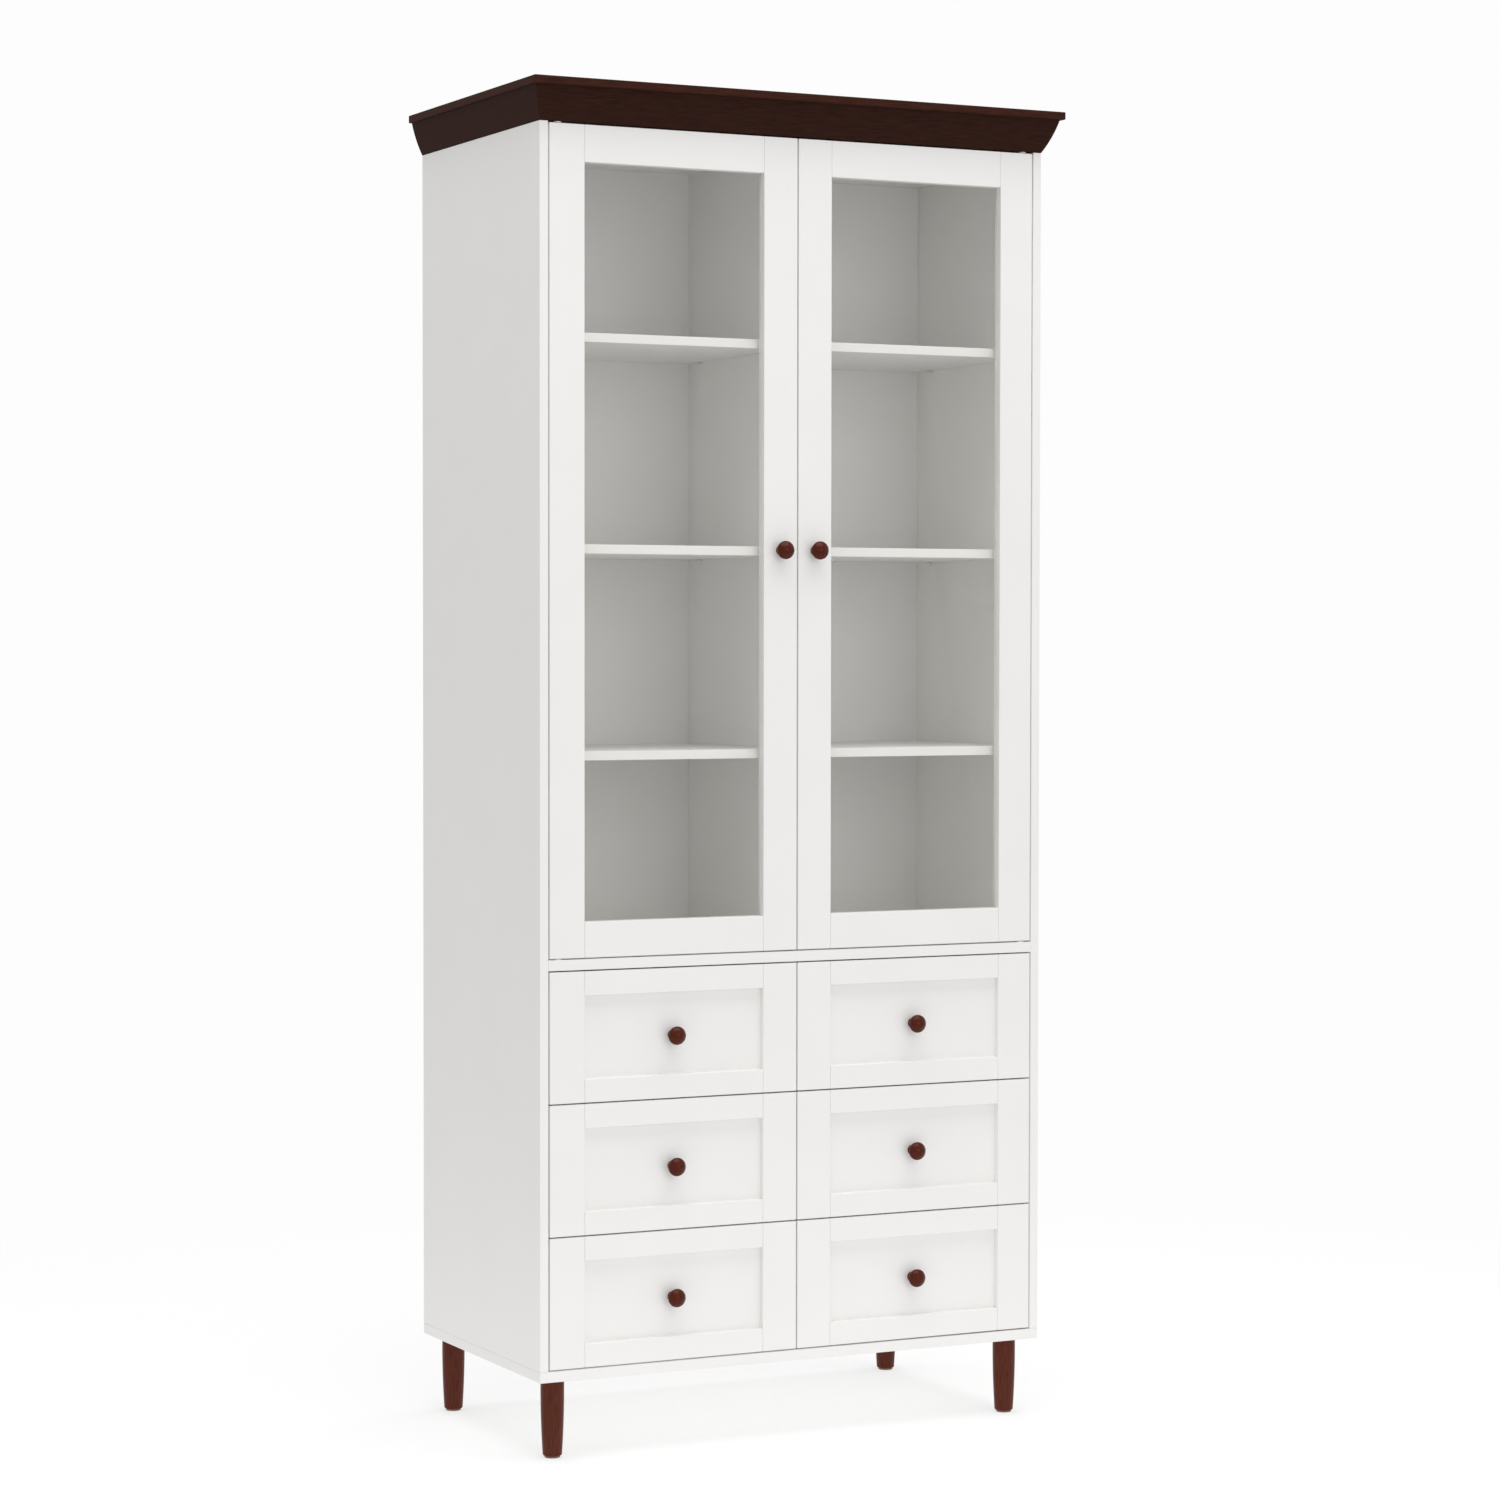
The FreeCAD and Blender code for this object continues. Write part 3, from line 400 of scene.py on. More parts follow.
def obj_from(name, mesh, smooth_angle=None):
    """A scene object from a bmesh. Faces meeting at less than the angle are shaded smooth."""
    data = bpy.data.meshes.new(name)
    mesh.to_mesh(data)
    mesh.free()
    if smooth_angle:
        data.shade_smooth()
        data.set_sharp_from_angle(angle=math.radians(smooth_angle))
    item = bpy.data.objects.new(name, data)
    bpy.context.scene.collection.objects.link(item)
    return item


def mark_grain(mesh, low, high):
    """Maps a board: Grain holds (along, across) in metres, Layers (depth in the thickness, sawn edge)."""
    size = high - low
    along, across, through = sorted(range(3), key=lambda axis: -size[axis])
    grain = mesh.loops.layers.uv.new("Grain")
    layers = mesh.loops.layers.uv.new("Layers")
    # Each board gets its own stretch of grain, from its place.
    shift = low.x * 3.1 + low.y * 5.3 + low.z * 7.7
    for face in mesh.faces:
        facing = max(range(3), key=lambda axis: abs(face.normal[axis]))
        sawn = float(facing != through)
        for loop in face.loops:
            spot = loop.vert.co
            if facing == along:
                place = (spot[across], spot[through])
            else:
                place = (spot[along], spot[across if facing == through else through])
            loop[grain].uv = (place[0] + shift, place[1] + shift)
            loop[layers].uv = (spot[through] - low[through], sawn)


def rounded_box(low, high, rounding, segments=2):
    """A board with rounded edges as a bmesh, mapped along its grain."""
    mesh = bmesh.new()
    box_solid(mesh, low, high)
    round_edges(mesh, min(rounding, min(high - low) * 0.45), segments)
    mark_grain(mesh, low, high)
    return mesh


def box_solid(mesh, low, high):
    """Adds a square-edged box to a bmesh."""
    for vertex in bmesh.ops.create_cube(mesh, size=1)["verts"]:
        vertex.co = Vector([low[axis] + (vertex.co[axis] + 0.5) * (high[axis] - low[axis]) for axis in range(3)])


def round_edges(mesh, rounding, segments=2):
    """Rounds every edge of a bmesh."""
    bmesh.ops.bevel(mesh, geom=list(mesh.edges), offset=rounding, segments=segments, profile=0.5, affect="EDGES")
    mesh.normal_update()


def merge(meshes):
    """Several bmeshes as one."""
    whole = bmesh.new()
    for mesh in meshes:
        passing = bpy.data.meshes.new("passing")
        mesh.to_mesh(passing)
        mesh.free()
        whole.from_mesh(passing)
        bpy.data.meshes.remove(passing)
    return whole


def join(name, items):
    """Several objects as one, with their shading kept."""
    first = items[0]
    with bpy.context.temp_override(active_object=first, selected_editable_objects=items):
        bpy.ops.object.join()
    first.name = name
    return first


def harden(item):
    """Keeps the flat faces flat-shaded between their rounded edges."""
    weighted = item.modifiers.new("even_shading", "WEIGHTED_NORMAL")
    weighted.keep_sharp = True
    weighted.weight = 100
    bake_modifiers(item)


def bake_modifiers(item):
    """Turns what the modifiers make into the object's own plain mesh."""
    seen = item.evaluated_get(bpy.context.evaluated_depsgraph_get())
    made = bpy.data.meshes.new_from_object(seen)
    item.modifiers.clear()
    item.data = made


def boards(name, boxes, rounding, segments=2):
    """Rounded boards as one object."""
    mesh = merge([rounded_box(low, high, rounding, segments) for low, high in boxes])
    item = obj_from(name, mesh, 60)
    harden(item)
    return item


def cut_away(item, boxes):
    """Cuts square-edged boxes out of an object."""
    mesh = bmesh.new()
    for low, high in boxes:
        box_solid(mesh, low, high)
    subtract(item, mesh)


def drill(item, node, axis, bore=None, play=0.1 * MM):
    """Drills an object for every pin, lock or bush of a CAD node that reaches into it.

    The bore is a hole's radius, where it isn't that of the whole pin.
    """
    low, high = reach_of([vertex.co for vertex in item.data.vertices])
    touch = 0.1 * MM
    way = Vector([float(number == axis) for number in range(3)])
    turn = Vector((0, 0, 1)).rotation_difference(way).to_matrix().to_4x4()
    mesh = bmesh.new()
    for pin_low, pin_high in islands(node):
        if all(pin_low[side] < high[side] - touch and pin_high[side] > low[side] + touch for side in range(3)):
            size = pin_high - pin_low
            radius = (bore or size[(axis + 1) % 3] / 2) + play
            bmesh.ops.create_cone(
                mesh, cap_ends=True, segments=32, radius1=radius, radius2=radius, depth=size[axis] + 2 * play,
                matrix=Matrix.Translation((pin_low + pin_high) / 2) @ turn
            )
    if mesh.verts:
        subtract(item, mesh)


def subtract(item, mesh):
    """Takes the solids of a bmesh away from an object."""
    tool = obj_from("tool", mesh)
    cut = item.modifiers.new("cut", "BOOLEAN")
    cut.operation = "DIFFERENCE"
    cut.solver = "EXACT"
    cut.object = tool
    bake_modifiers(item)
    bpy.data.objects.remove(tool)


def frame_boxes(low, high, stile, rail_top, rail_foot):
    """Two stiles with two rails between them, as boxes. A fine line is left at each joint."""
    inner_low, inner_high = low.x + stile, high.x - stile
    rail_low, rail_high = inner_low + sizes().joint_line, inner_high - sizes().joint_line
    return [
        (low, Vector((inner_low, high.y, high.z))),
        (Vector((inner_high, low.y, low.z)), high),
        (Vector((rail_low, low.y, low.z)), Vector((rail_high, high.y, low.z + rail_foot))),
        (Vector((rail_low, low.y, high.z - rail_top)), Vector((rail_high, high.y, high.z))),
    ]


def panel_frame(name, low, high, rail_top, rail_foot, lap, depth):
    """A framed front. A step at its back takes the pane or the panel, and starts at the given depth."""
    size = sizes()
    step_low = Vector((low.x + size.stile - lap, low.y + depth, low.z + rail_foot - lap))
    step_high = Vector((high.x - size.stile + lap, high.y + MM, high.z - rail_top + lap))
    members = []
    for number, box in enumerate(frame_boxes(low, high, size.stile, rail_top, rail_foot)):
        member = boards(f"{name}_{number}", [box], size.front_round, 3)
        cut_away(member, [(step_low, step_high)])
        members.append(member)
    return join(name, members)


def loft(start, end):
    """A closed solid between two rings of points, as a bmesh. Its first two faces are its ends."""
    mesh = bmesh.new()
    first = [mesh.verts.new(spot) for spot in start]
    second = [mesh.verts.new(spot) for spot in end]
    for corners in (first, second, *zip(first, second, second[1:] + second[:1], first[1:] + first[:1])):
        mesh.faces.new(corners)
    bmesh.ops.recalc_face_normals(mesh, faces=mesh.faces)
    return mesh


def rectangle(low, high, inset):
    """The (x, z) corners of a box, moved in by an inset."""
    left, right, foot, top = low.x + inset, high.x - inset, low.z + inset, high.z - inset
    return [(left, foot), (right, foot), (right, top), (left, top)]


def mitred_ring(low, high, width, rounding):
    """Four strips round a rectangle in the XZ plane, mitred at the corners."""
    outer, inner = rectangle(low, high, 0), rectangle(low, high, width)
    strips = []
    for spots in zip(outer, outer[1:] + outer[:1], inner[1:] + inner[:1], inner):
        strip = loft(*[[(x, y, z) for x, z in spots] for y in (low.y, high.y)])
        round_edges(strip, rounding)
        strips.append(strip)
    return merge(strips)


def arc_points(start, end, radius, side, steps):
    """Points along the short arc between two points, which swells to the left of the way for side 1."""
    chord = end - start
    left = Vector((-chord.y, chord.x)).normalized() * side
    centre = (start + end) / 2 - left * math.sqrt(radius ** 2 - (chord.length / 2) ** 2)
    first = math.atan2(start.y - centre.y, start.x - centre.x)
    sweep = 2 * math.asin(min(1, chord.length / 2 / radius)) * -side
    turns = [first + sweep * step / steps for step in range(steps)]
    return [centre + radius * Vector((math.cos(turn), math.sin(turn))) for turn in turns]


def outline(corners, steps=8):
    """The points of an outline. A corner is (x, y), or (x, y, radius, side) where an arc leaves it."""
    points = []
    for corner, following in zip(corners, corners[1:] + corners[:1]):
        start, end = Vector(corner[:2]), Vector(following[:2])
        if len(corner) == 4:
            points.extend(arc_points(start, end, corner[2], corner[3], steps))
        else:
            points.append(start)
    return points


def lathe(profile, origin, axis, steps):
    """Turns (radius, distance) points round an axis. Points at radius 0 become poles."""
    axis = Vector(axis)
    across = axis.orthogonal().normalized()
    third = axis.cross(across)
    turns = [2 * math.pi * step / steps for step in range(steps)]
    spokes = [across * math.cos(turn) + third * math.sin(turn) for turn in turns]
    widest = max(radius for radius, distance in profile)
    mesh = bmesh.new()
    grain = mesh.loops.layers.uv.new("Grain")
    rings = []
    for radius, distance in profile:
        middle = origin + axis * distance
        if radius < 1e-7:
            rings.append((distance, [mesh.verts.new(middle)] * steps))
        else:
            rings.append((distance, [mesh.verts.new(middle + radius * spoke) for spoke in spokes]))
    for (here, first), (there, second) in zip(rings, rings[1:] + rings[:1]):
        for step in range(steps):
            after = (step + 1) % steps
            corners = [(first[step], here, step), (first[after], here, step + 1),
                       (second[after], there, step + 1), (second[step], there, step)]
            # At a pole, a face has one corner in place of two.
            if first[0] is first[1]:
                corners.pop(1)
            if second[0] is second[1]:
                corners.pop(2)
            if len(corners) < 3:
                continue
            face = mesh.faces.new([vertex for vertex, distance, turn in corners])
            for loop, (vertex, distance, turn) in zip(face.loops, corners):
                loop[grain].uv = (distance + origin.x, 2 * math.pi * turn / steps * widest + origin.z)
    bmesh.ops.recalc_face_normals(mesh, faces=mesh.faces)
    return mesh


def dress(item, finish, body, slot, *nodes):
    """Gives a piece its finish and the body it rides on, and hides the CAD nodes it stands for. The slot is not
    used.
    """
    if finish:
        item.data.materials.clear()
        item.data.materials.append(finish_of(finish))
    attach(item, body)
    if nodes:
        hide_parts(*nodes)
    return item


def band_front(item):
    """Gives the front edges of foil-faced boards the lacquer's white as their edge band, brighter than the foil,
    whose colour holds painted shade.
    """
    item.data.materials.append(finish_of("satin_white_lacquer"))
    for face in item.data.polygons:
        face.material_index = int(face.normal.y < -0.5)


def repaint(node, finish):
    """Gives a CAD node a better finish."""
    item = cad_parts[node]
    if not item.data.materials:
        item.data.materials.append(None)
    for number in range(len(item.data.materials)):
        item.data.materials[number] = finish_of(finish)


# ---- Repeats ----

def repeat_tree():
    """Geometry Nodes: a copy of one small piece at every point, turned the same way."""
    tree = bpy.data.node_groups.get("set_pieces")
    if tree:
        return tree
    tree = bpy.data.node_groups.new("set_pieces", "GeometryNodeTree")
    sockets = (("Points", "Geometry"), ("Piece", "Object"), ("Turn", "Rotation"), ("Finish", "Material"))
    for name, kind in sockets:
        tree.interface.new_socket(name, in_out="INPUT", socket_type="NodeSocket" + kind)
    tree.interface.new_socket("Pieces", in_out="OUTPUT", socket_type="NodeSocketGeometry")
    given = add(tree, "NodeGroupInput")
    piece = add(tree, "GeometryNodeObjectInfo", {"Object": given.outputs["Piece"]})
    points = add(tree, "GeometryNodeMeshToPoints", {"Mesh": given.outputs["Points"]})
    placed = add(tree, "GeometryNodeInstanceOnPoints", {
        "Points": points, "Instance": piece.outputs["Geometry"], "Rotation": given.outputs["Turn"]
    })
    real = add(tree, "GeometryNodeRealizeInstances", {"Geometry": placed})
    painted = add(tree, "GeometryNodeSetMaterial", {"Geometry": real, "Material": given.outputs["Finish"]})
    add(tree, "NodeGroupOutput", {0: painted})
    return tree


def set_pieces(name, points, piece, finish, facing=(0, 0, 1)):
    """Copies of a small piece at the points. The piece is modelled facing +Z."""
    data = bpy.data.meshes.new(name)
    data.from_pydata([tuple(point) for point in points], [], [])
    item = bpy.data.objects.new(name, data)
    bpy.context.scene.collection.objects.link(item)
    nodes = item.modifiers.new("repeat", "NODES")
    nodes.node_group = repeat_tree()
    keys = {
        socket.name: socket.identifier
        for socket in nodes.node_group.interface.items_tree if socket.in_out == "INPUT"
    }
    nodes[keys["Piece"]] = piece
    nodes[keys["Turn"]] = Vector((0, 0, 1)).rotation_difference(Vector(facing)).to_euler()
    nodes[keys["Finish"]] = finish_of(finish)
    bake_modifiers(item)
    item.data.materials.clear()
    item.data.materials.append(finish_of(finish))
    item.data.polygons.foreach_set("material_index", [0] * len(item.data.polygons))
    return item


def steel_set(name, spots, piece, facing, body, *nodes):
    """Copies of a small steel piece, on the body that they ride on."""
    return dress(set_pieces(name, spots, piece, "zinc_plated_steel", facing), None, body, "zinc_steel", *nodes)


def pattern(name, profile, steps):
    """A small turned piece at the origin, facing +Z, kept out of the render until it's copied."""
    item = obj_from(name, lathe(profile, Vector(), (0, 0, 1), steps), 35)
    item.hide_render = True
    return item


def cross_slot(item, arm, half, floor_at, top_at):
    """Cuts a cross for a screwdriver into a pattern, from one height up to another."""
    cut_away(item, [
        (Vector((-arm, -half, floor_at)), Vector((arm, half, top_at))),
        (Vector((-half, -arm, floor_at)), Vector((half, arm, top_at))),
    ])


def screw_head(radius, height):
    """A domed screw head with a cross recess, at the origin, facing +Z."""
    steps = 6
    rises = [math.pi / 2 * step / steps for step in range(steps)]
    dome = [(radius * math.cos(rise), height * (0.35 + 0.65 * math.sin(rise))) for rise in rises]
    item = pattern("screw_head", [(0, 0), (radius, 0), *dome, (0, height)], 24)
    cross_slot(item, radius * 0.55, radius * 0.11, height * 0.45, height * 2)
    return item


def along(start, end, count):
    """Evenly spaced points, both ends included."""
    return [start.lerp(end, step / (count - 1)) for step in range(count)]


def border(low, high, inset, pitch, clear=0):
    """Points on a box's rear face, round its edge at an inset, and that far clear of its corners."""
    corners = [Vector((x, high.y, z)) for x, z in rectangle(low, high, inset)]
    counts = [round((high.x - low.x) / pitch), round((high.z - low.z) / pitch)] * 2
    spots = []
    for start, end, count in zip(corners, corners[1:] + corners[:1], counts):
        step_in = (end - start).normalized() * clear
        points = along(start + step_in, end - step_in, count + 1)
        # Without a clearance, a side's last point is the next side's first.
        spots.extend(points if clear else points[:-1])
    return spots


def into_bay(low, high):
    """The way along X, 1 or -1, from a fitting's board into its bay."""
    bay_middle = (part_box("side_panel_right")[0].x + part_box("upper_partition")[1].x) / 2
    across = (low.x + high.x) / 2
    return 1 if (abs(across) > bay_middle) == (across < 0) else -1


# ---- Operators ----

# What each board is drilled for, the axis of those holes, and their radius if it isn't the pin's.
DRILLED = {
    "side_panel_left": [("shelf_pins", 0, None)],
    "side_panel_right": [("shelf_pins", 0, None)],
    "upper_partition": [("shelf_pins", 0, None)],
    "divider_shelf": [("cam_locks", 2, None), ("door_pivot_bushes", 2, 4 * MM)],
    "top_panel": [("cam_locks", 2, None)],
    "base_panel": [("leg_studs_and_nuts", 2, 4 * MM)],
}


class CABINET_OT_carcass(bpy.types.Operator):
    """Sides, base, divider, top, partitions, back panel and shelves"""

    bl_idname = "cabinet.carcass"
    bl_label = "Carcass"

    def execute(self, context):
        rounding = sizes().board_round
        outer = ("side_panel_left", "side_panel_right", "base_panel", "divider_shelf")
        inner = ("lower_partition", "upper_partition", "top_panel", "shelves_left", "shelves_right")
        for node in outer + inner:
            solids = islands(node) if node.startswith("shelves") else [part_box(node)]
            item = boards(node + "_boards", solids, rounding)
            for pins, axis, bore in DRILLED.get(node, ()):
                drill(item, pins, axis, bore)
            if node in outer:
                dress(item, "satin_white_lacquer", "root", "white_lacquer", node)
            else:
                # Inside boards take the foil colour with painted shade; their front edges keep the lacquer's
                # white.
                dress(item, "white_foil", "root", "inner_board", node)
                band_front(item)
        # The back panel's colour also holds painted shade.
        repaint("back_panel", "painted_fibreboard")
        return {"FINISHED"}


class CABINET_OT_crown(bpy.types.Operator):
    """Mitred moulding with a swelling face, and the cap that makes its lip"""

    bl_idname = "cabinet.crown"
    bl_label = "Crown"

    def execute(self, context):
        low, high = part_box("crown_front")
        case_low, case_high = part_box("side_panel_left")
        half_width = -case_low.x
        front, rear = case_low.y, case_high.y
        side_lean, front_lean, rise = high.x - half_width, front - low.y, high.z - low.z
        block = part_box("crown_left")[1].x + half_width
        # Shares of the lean up the swelling face, the same for front and sides so that mitres meet.
        face = arc_points(Vector((0, 0)), Vector((front_lean, rise)), sizes().crown_bulge, -1, 14)
        profile = [(point.x / front_lean, point.y) for point in face] + [(1.0, rise)]

        def ring(side, y, lean, inner_x, inner_y):
            """One end of a moulding: up its face, then down its flat back."""
            return [
                Vector((side * (half_width + side_lean * share), y - lean * share, low.z + up))
                for share, up in profile
            ] + [Vector((side * inner_x, inner_y, low.z + up)) for up in (rise, 0)]

        mitre = side_lean / front_lean
        front_inner = (half_width - block * mitre, front + block)
        side_x, side_y = half_width - block, front + block / mitre
        ends = {
            "left": (ring(-1, rear, 0, side_x, rear), ring(-1, front, front_lean, side_x, side_y)),
            "front": [ring(side, front, front_lean, *front_inner) for side in (-1, 1)],
            "right": (ring(1, front, front_lean, side_x, side_y), ring(1, rear, 0, side_x, rear)),
        }
        for name, (start, end) in ends.items():
            mesh = loft(start, end)
            grain = mesh.loops.layers.uv.new("Grain")
            for number, face in enumerate(mesh.faces):
                for loop in face.loops:
                    spot = loop.vert.co
                    if number < 2:
                        loop[grain].uv = (spot.z, spot.y)
                    else:
                        loop[grain].uv = (spot.x if name == "front" else spot.y, spot.z + spot.y * 0.2)
            item = obj_from(f"crown_{name}_moulding", mesh, 30)
            if name == "front":
                drill(item, "door_pivot_bushes", 2, 4 * MM)
            dress(item, "dark_stained_wood", "root", "crown_stain", f"crown_{name}")
        cap = boards("crown_cap_board", [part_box("crown_cap")], sizes().cap_round, 4)
        dress(cap, "dark_stained_cap", "root", "crown_stain", "crown_cap")
        return {"FINISHED"}


class CABINET_OT_legs(bpy.types.Operator):
    """Turned legs, with their glides, studs and nuts"""

    bl_idname = "cabinet.legs"
    bl_label = "Legs"

    def execute(self, context):
        for place in ("front_left", "back_left", "front_right", "back_right"):
            low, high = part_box("leg_" + place)
            top, tall = (high.x - low.x) / 2, high.z - low.z
            foot, toe = sizes().leg_foot / 2, 2.7 * MM
            profile = [tuple(point) for point in outline([
                (0, 0),
                (foot - toe, 0, toe, -1),
                (foot, toe, sizes().leg_swell, -1),
                (top, tall),
                (4 * MM, tall),
                (4 * MM, tall - 30 * MM),
                (0, tall - 30 * MM),
            ], 12)]
            base = Vector(((low.x + high.x) / 2, (low.y + high.y) / 2, low.z))
            leg = obj_from(f"leg_{place}_turning", lathe(profile, base, (0, 0, 1), 64), 40)
            dress(leg, "red_stained_wood", "root", "leg_stain", "leg_" + place)
        glides = islands("foot_glides")
        radius, thick = (glides[0][1].x - glides[0][0].x) / 2, glides[0][1].z
        edge = 0.6 * MM
        disc = pattern("glide", [(0, 0), (radius - edge, 0), (radius, edge), (radius, thick), (0, thick)], 40)
        spots = [Vector(((low.x + high.x) / 2, (low.y + high.y) / 2, 0)) for low, high in glides]
        item = set_pieces("foot_glide_discs", spots, disc, "brown_nylon")
        dress(item, None, "root", "brown_nylon", "foot_glides")
        bpy.data.objects.remove(disc)
        repaint("leg_studs_and_nuts", "zinc_plated_steel")
        return {"FINISHED"}


class CABINET_OT_doors(bpy.types.Operator):
    """Door frames with their stepped backs, panes and the strips that hold them"""

    bl_idname = "cabinet.doors"
    bl_label = "Doors"

    def execute(self, context):
        size = sizes()
        brad = pattern("brad", [(0, 0), (0.75 * MM, 0), (0.75 * MM, 0.15 * MM), (0, 0.3 * MM)], 10)
        for side in SIDES:
            body = "door_" + side
            low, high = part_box(body + "_frame")
            framed = panel_frame(body + "_frame_members", low, high, size.door_rail_top,
                                 size.door_rail_foot, size.bead_width, size.glass_set)
            dress(framed, "satin_white_lacquer", body, "white_lacquer", body + "_frame")
            pane = boards(body + "_pane", [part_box(body + "_glass")], size.glass_arris, 1)
            dress(pane, "float_glass", body, "glass", body + "_glass")
            low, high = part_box(body + "_glass_beads")
            strips = obj_from(body + "_glazing_strips",
                              mitred_ring(low, high, size.bead_width, size.bead_round), 60)
            harden(strips)
            dress(strips, "satin_white_lacquer", body, "white_lacquer", body + "_glass_beads")
            spots = border(low, high, size.bead_width / 2, size.brad_pitch, 22 * MM)
            steel_set(body + "_brads", spots, brad, (0, 1, 0), body)
            repaint(body + "_hardware", "zinc_plated_steel")
        repaint("door_pivot_bushes", "moulded_nylon")
        catches = boards("door_catch_blocks", islands("door_catches"), 1.2 * MM, 3)
        dress(catches, "moulded_plastic", "root", "catch_plastic", "door_catches")
        bpy.data.objects.remove(brad)
        return {"FINISHED"}


class CABINET_OT_drawers(bpy.types.Operator):
    """Framed drawer fronts, plywood boxes and their runners"""

    bl_idname = "cabinet.drawers"
    bl_label = "Drawers"

    def execute(self, context):
        size = sizes()
        for side in SIDES:
            for row in ROWS:
                body = f"drawer_{side}_{row}"
                low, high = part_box(body + "_front")
                framed = panel_frame(body + "_frame_members", low, high, size.drawer_rail_top,
                                     size.drawer_rail_foot, size.panel_lap, size.panel_set)
                dress(framed, "satin_white_lacquer", body, "white_lacquer", body + "_front")
                lap = size.panel_lap
                sunk = boards(body + "_sunk_panel", [(
                    Vector((low.x + size.stile - lap, low.y + size.panel_set,
                            low.z + size.drawer_rail_foot - lap)),
                    Vector((high.x - size.stile + lap, low.y + size.panel_set + size.panel_sheet,
                            high.z - size.drawer_rail_top + lap)),
                )], size.panel_round)
                dress(sunk, "satin_white_lacquer", body, "white_lacquer")
                box = boards(body + "_box_boards", self.box_boards(*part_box(body + "_box")), size.panel_round)
                dress(box, "birch_plywood", body, "drawer_board", body + "_box")
                repaint(body + "_hardware", "zinc_plated_steel")
        repaint("runner_channels", "zinc_plated_steel")
        return {"FINISHED"}

    def box_boards(self, low, high):
        """Two sides, with a front, a back and a bottom between them."""
        size = sizes()
        board = size.box_board
        left, right, near, far = low.x + board, high.x - board, low.y + board, high.y - board
        foot = low.z + size.box_sheet_lift
        return [
            (low, Vector((left, high.y, high.z))),
            (Vector((right, low.y, low.z)), high),
            (Vector((left, low.y, low.z)), Vector((right, near, high.z))),
            (Vector((left, far, low.z)), Vector((right, high.y, high.z))),
            (Vector((left, near, foot)), Vector((right, far, foot + size.box_sheet))),
        ]


class CABINET_OT_knobs(bpy.types.Operator):
    """Turned mushroom knobs on doors and drawers"""

    bl_idname = "cabinet.knobs"
    bl_label = "Knobs"

    def execute(self, context):
        bodies = [f"door_{side}" for side in SIDES] + [f"drawer_{side}_{row}" for side in SIDES for row in ROWS]
        for body in bodies:
            low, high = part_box(body + "_knob")
            head, out = high.z - low.z, high.y - low.y
            # Shares of the knob's own width and reach, as in the frame's knob.
            profile = outline([
                (0, 12 * MM),
                (2 * MM, 12 * MM),
                (2 * MM, 0),
                (0.28 * head, 0, 0.5 * head, 1),
                (0.3 * head, 0.42 * out, 0.19 * head, -1),
                (0.5 * head, 0.6 * out, 0.19 * head, -1),
                (0.43 * head, 0.78 * out, 0.62 * head, -1),
                (0, out),
            ], 10)
            centre = Vector(((low.x + high.x) / 2, high.y, (low.z + high.z) / 2))
            knob = obj_from(body + "_turned_knob", lathe(
                [(max(0, point.x), point.y) for point in profile], centre, (0, -1, 0), 56), 40)
            dress(knob, "polished_knob_wood", body, "stained_knob", body + "_knob")
        return {"FINISHED"}


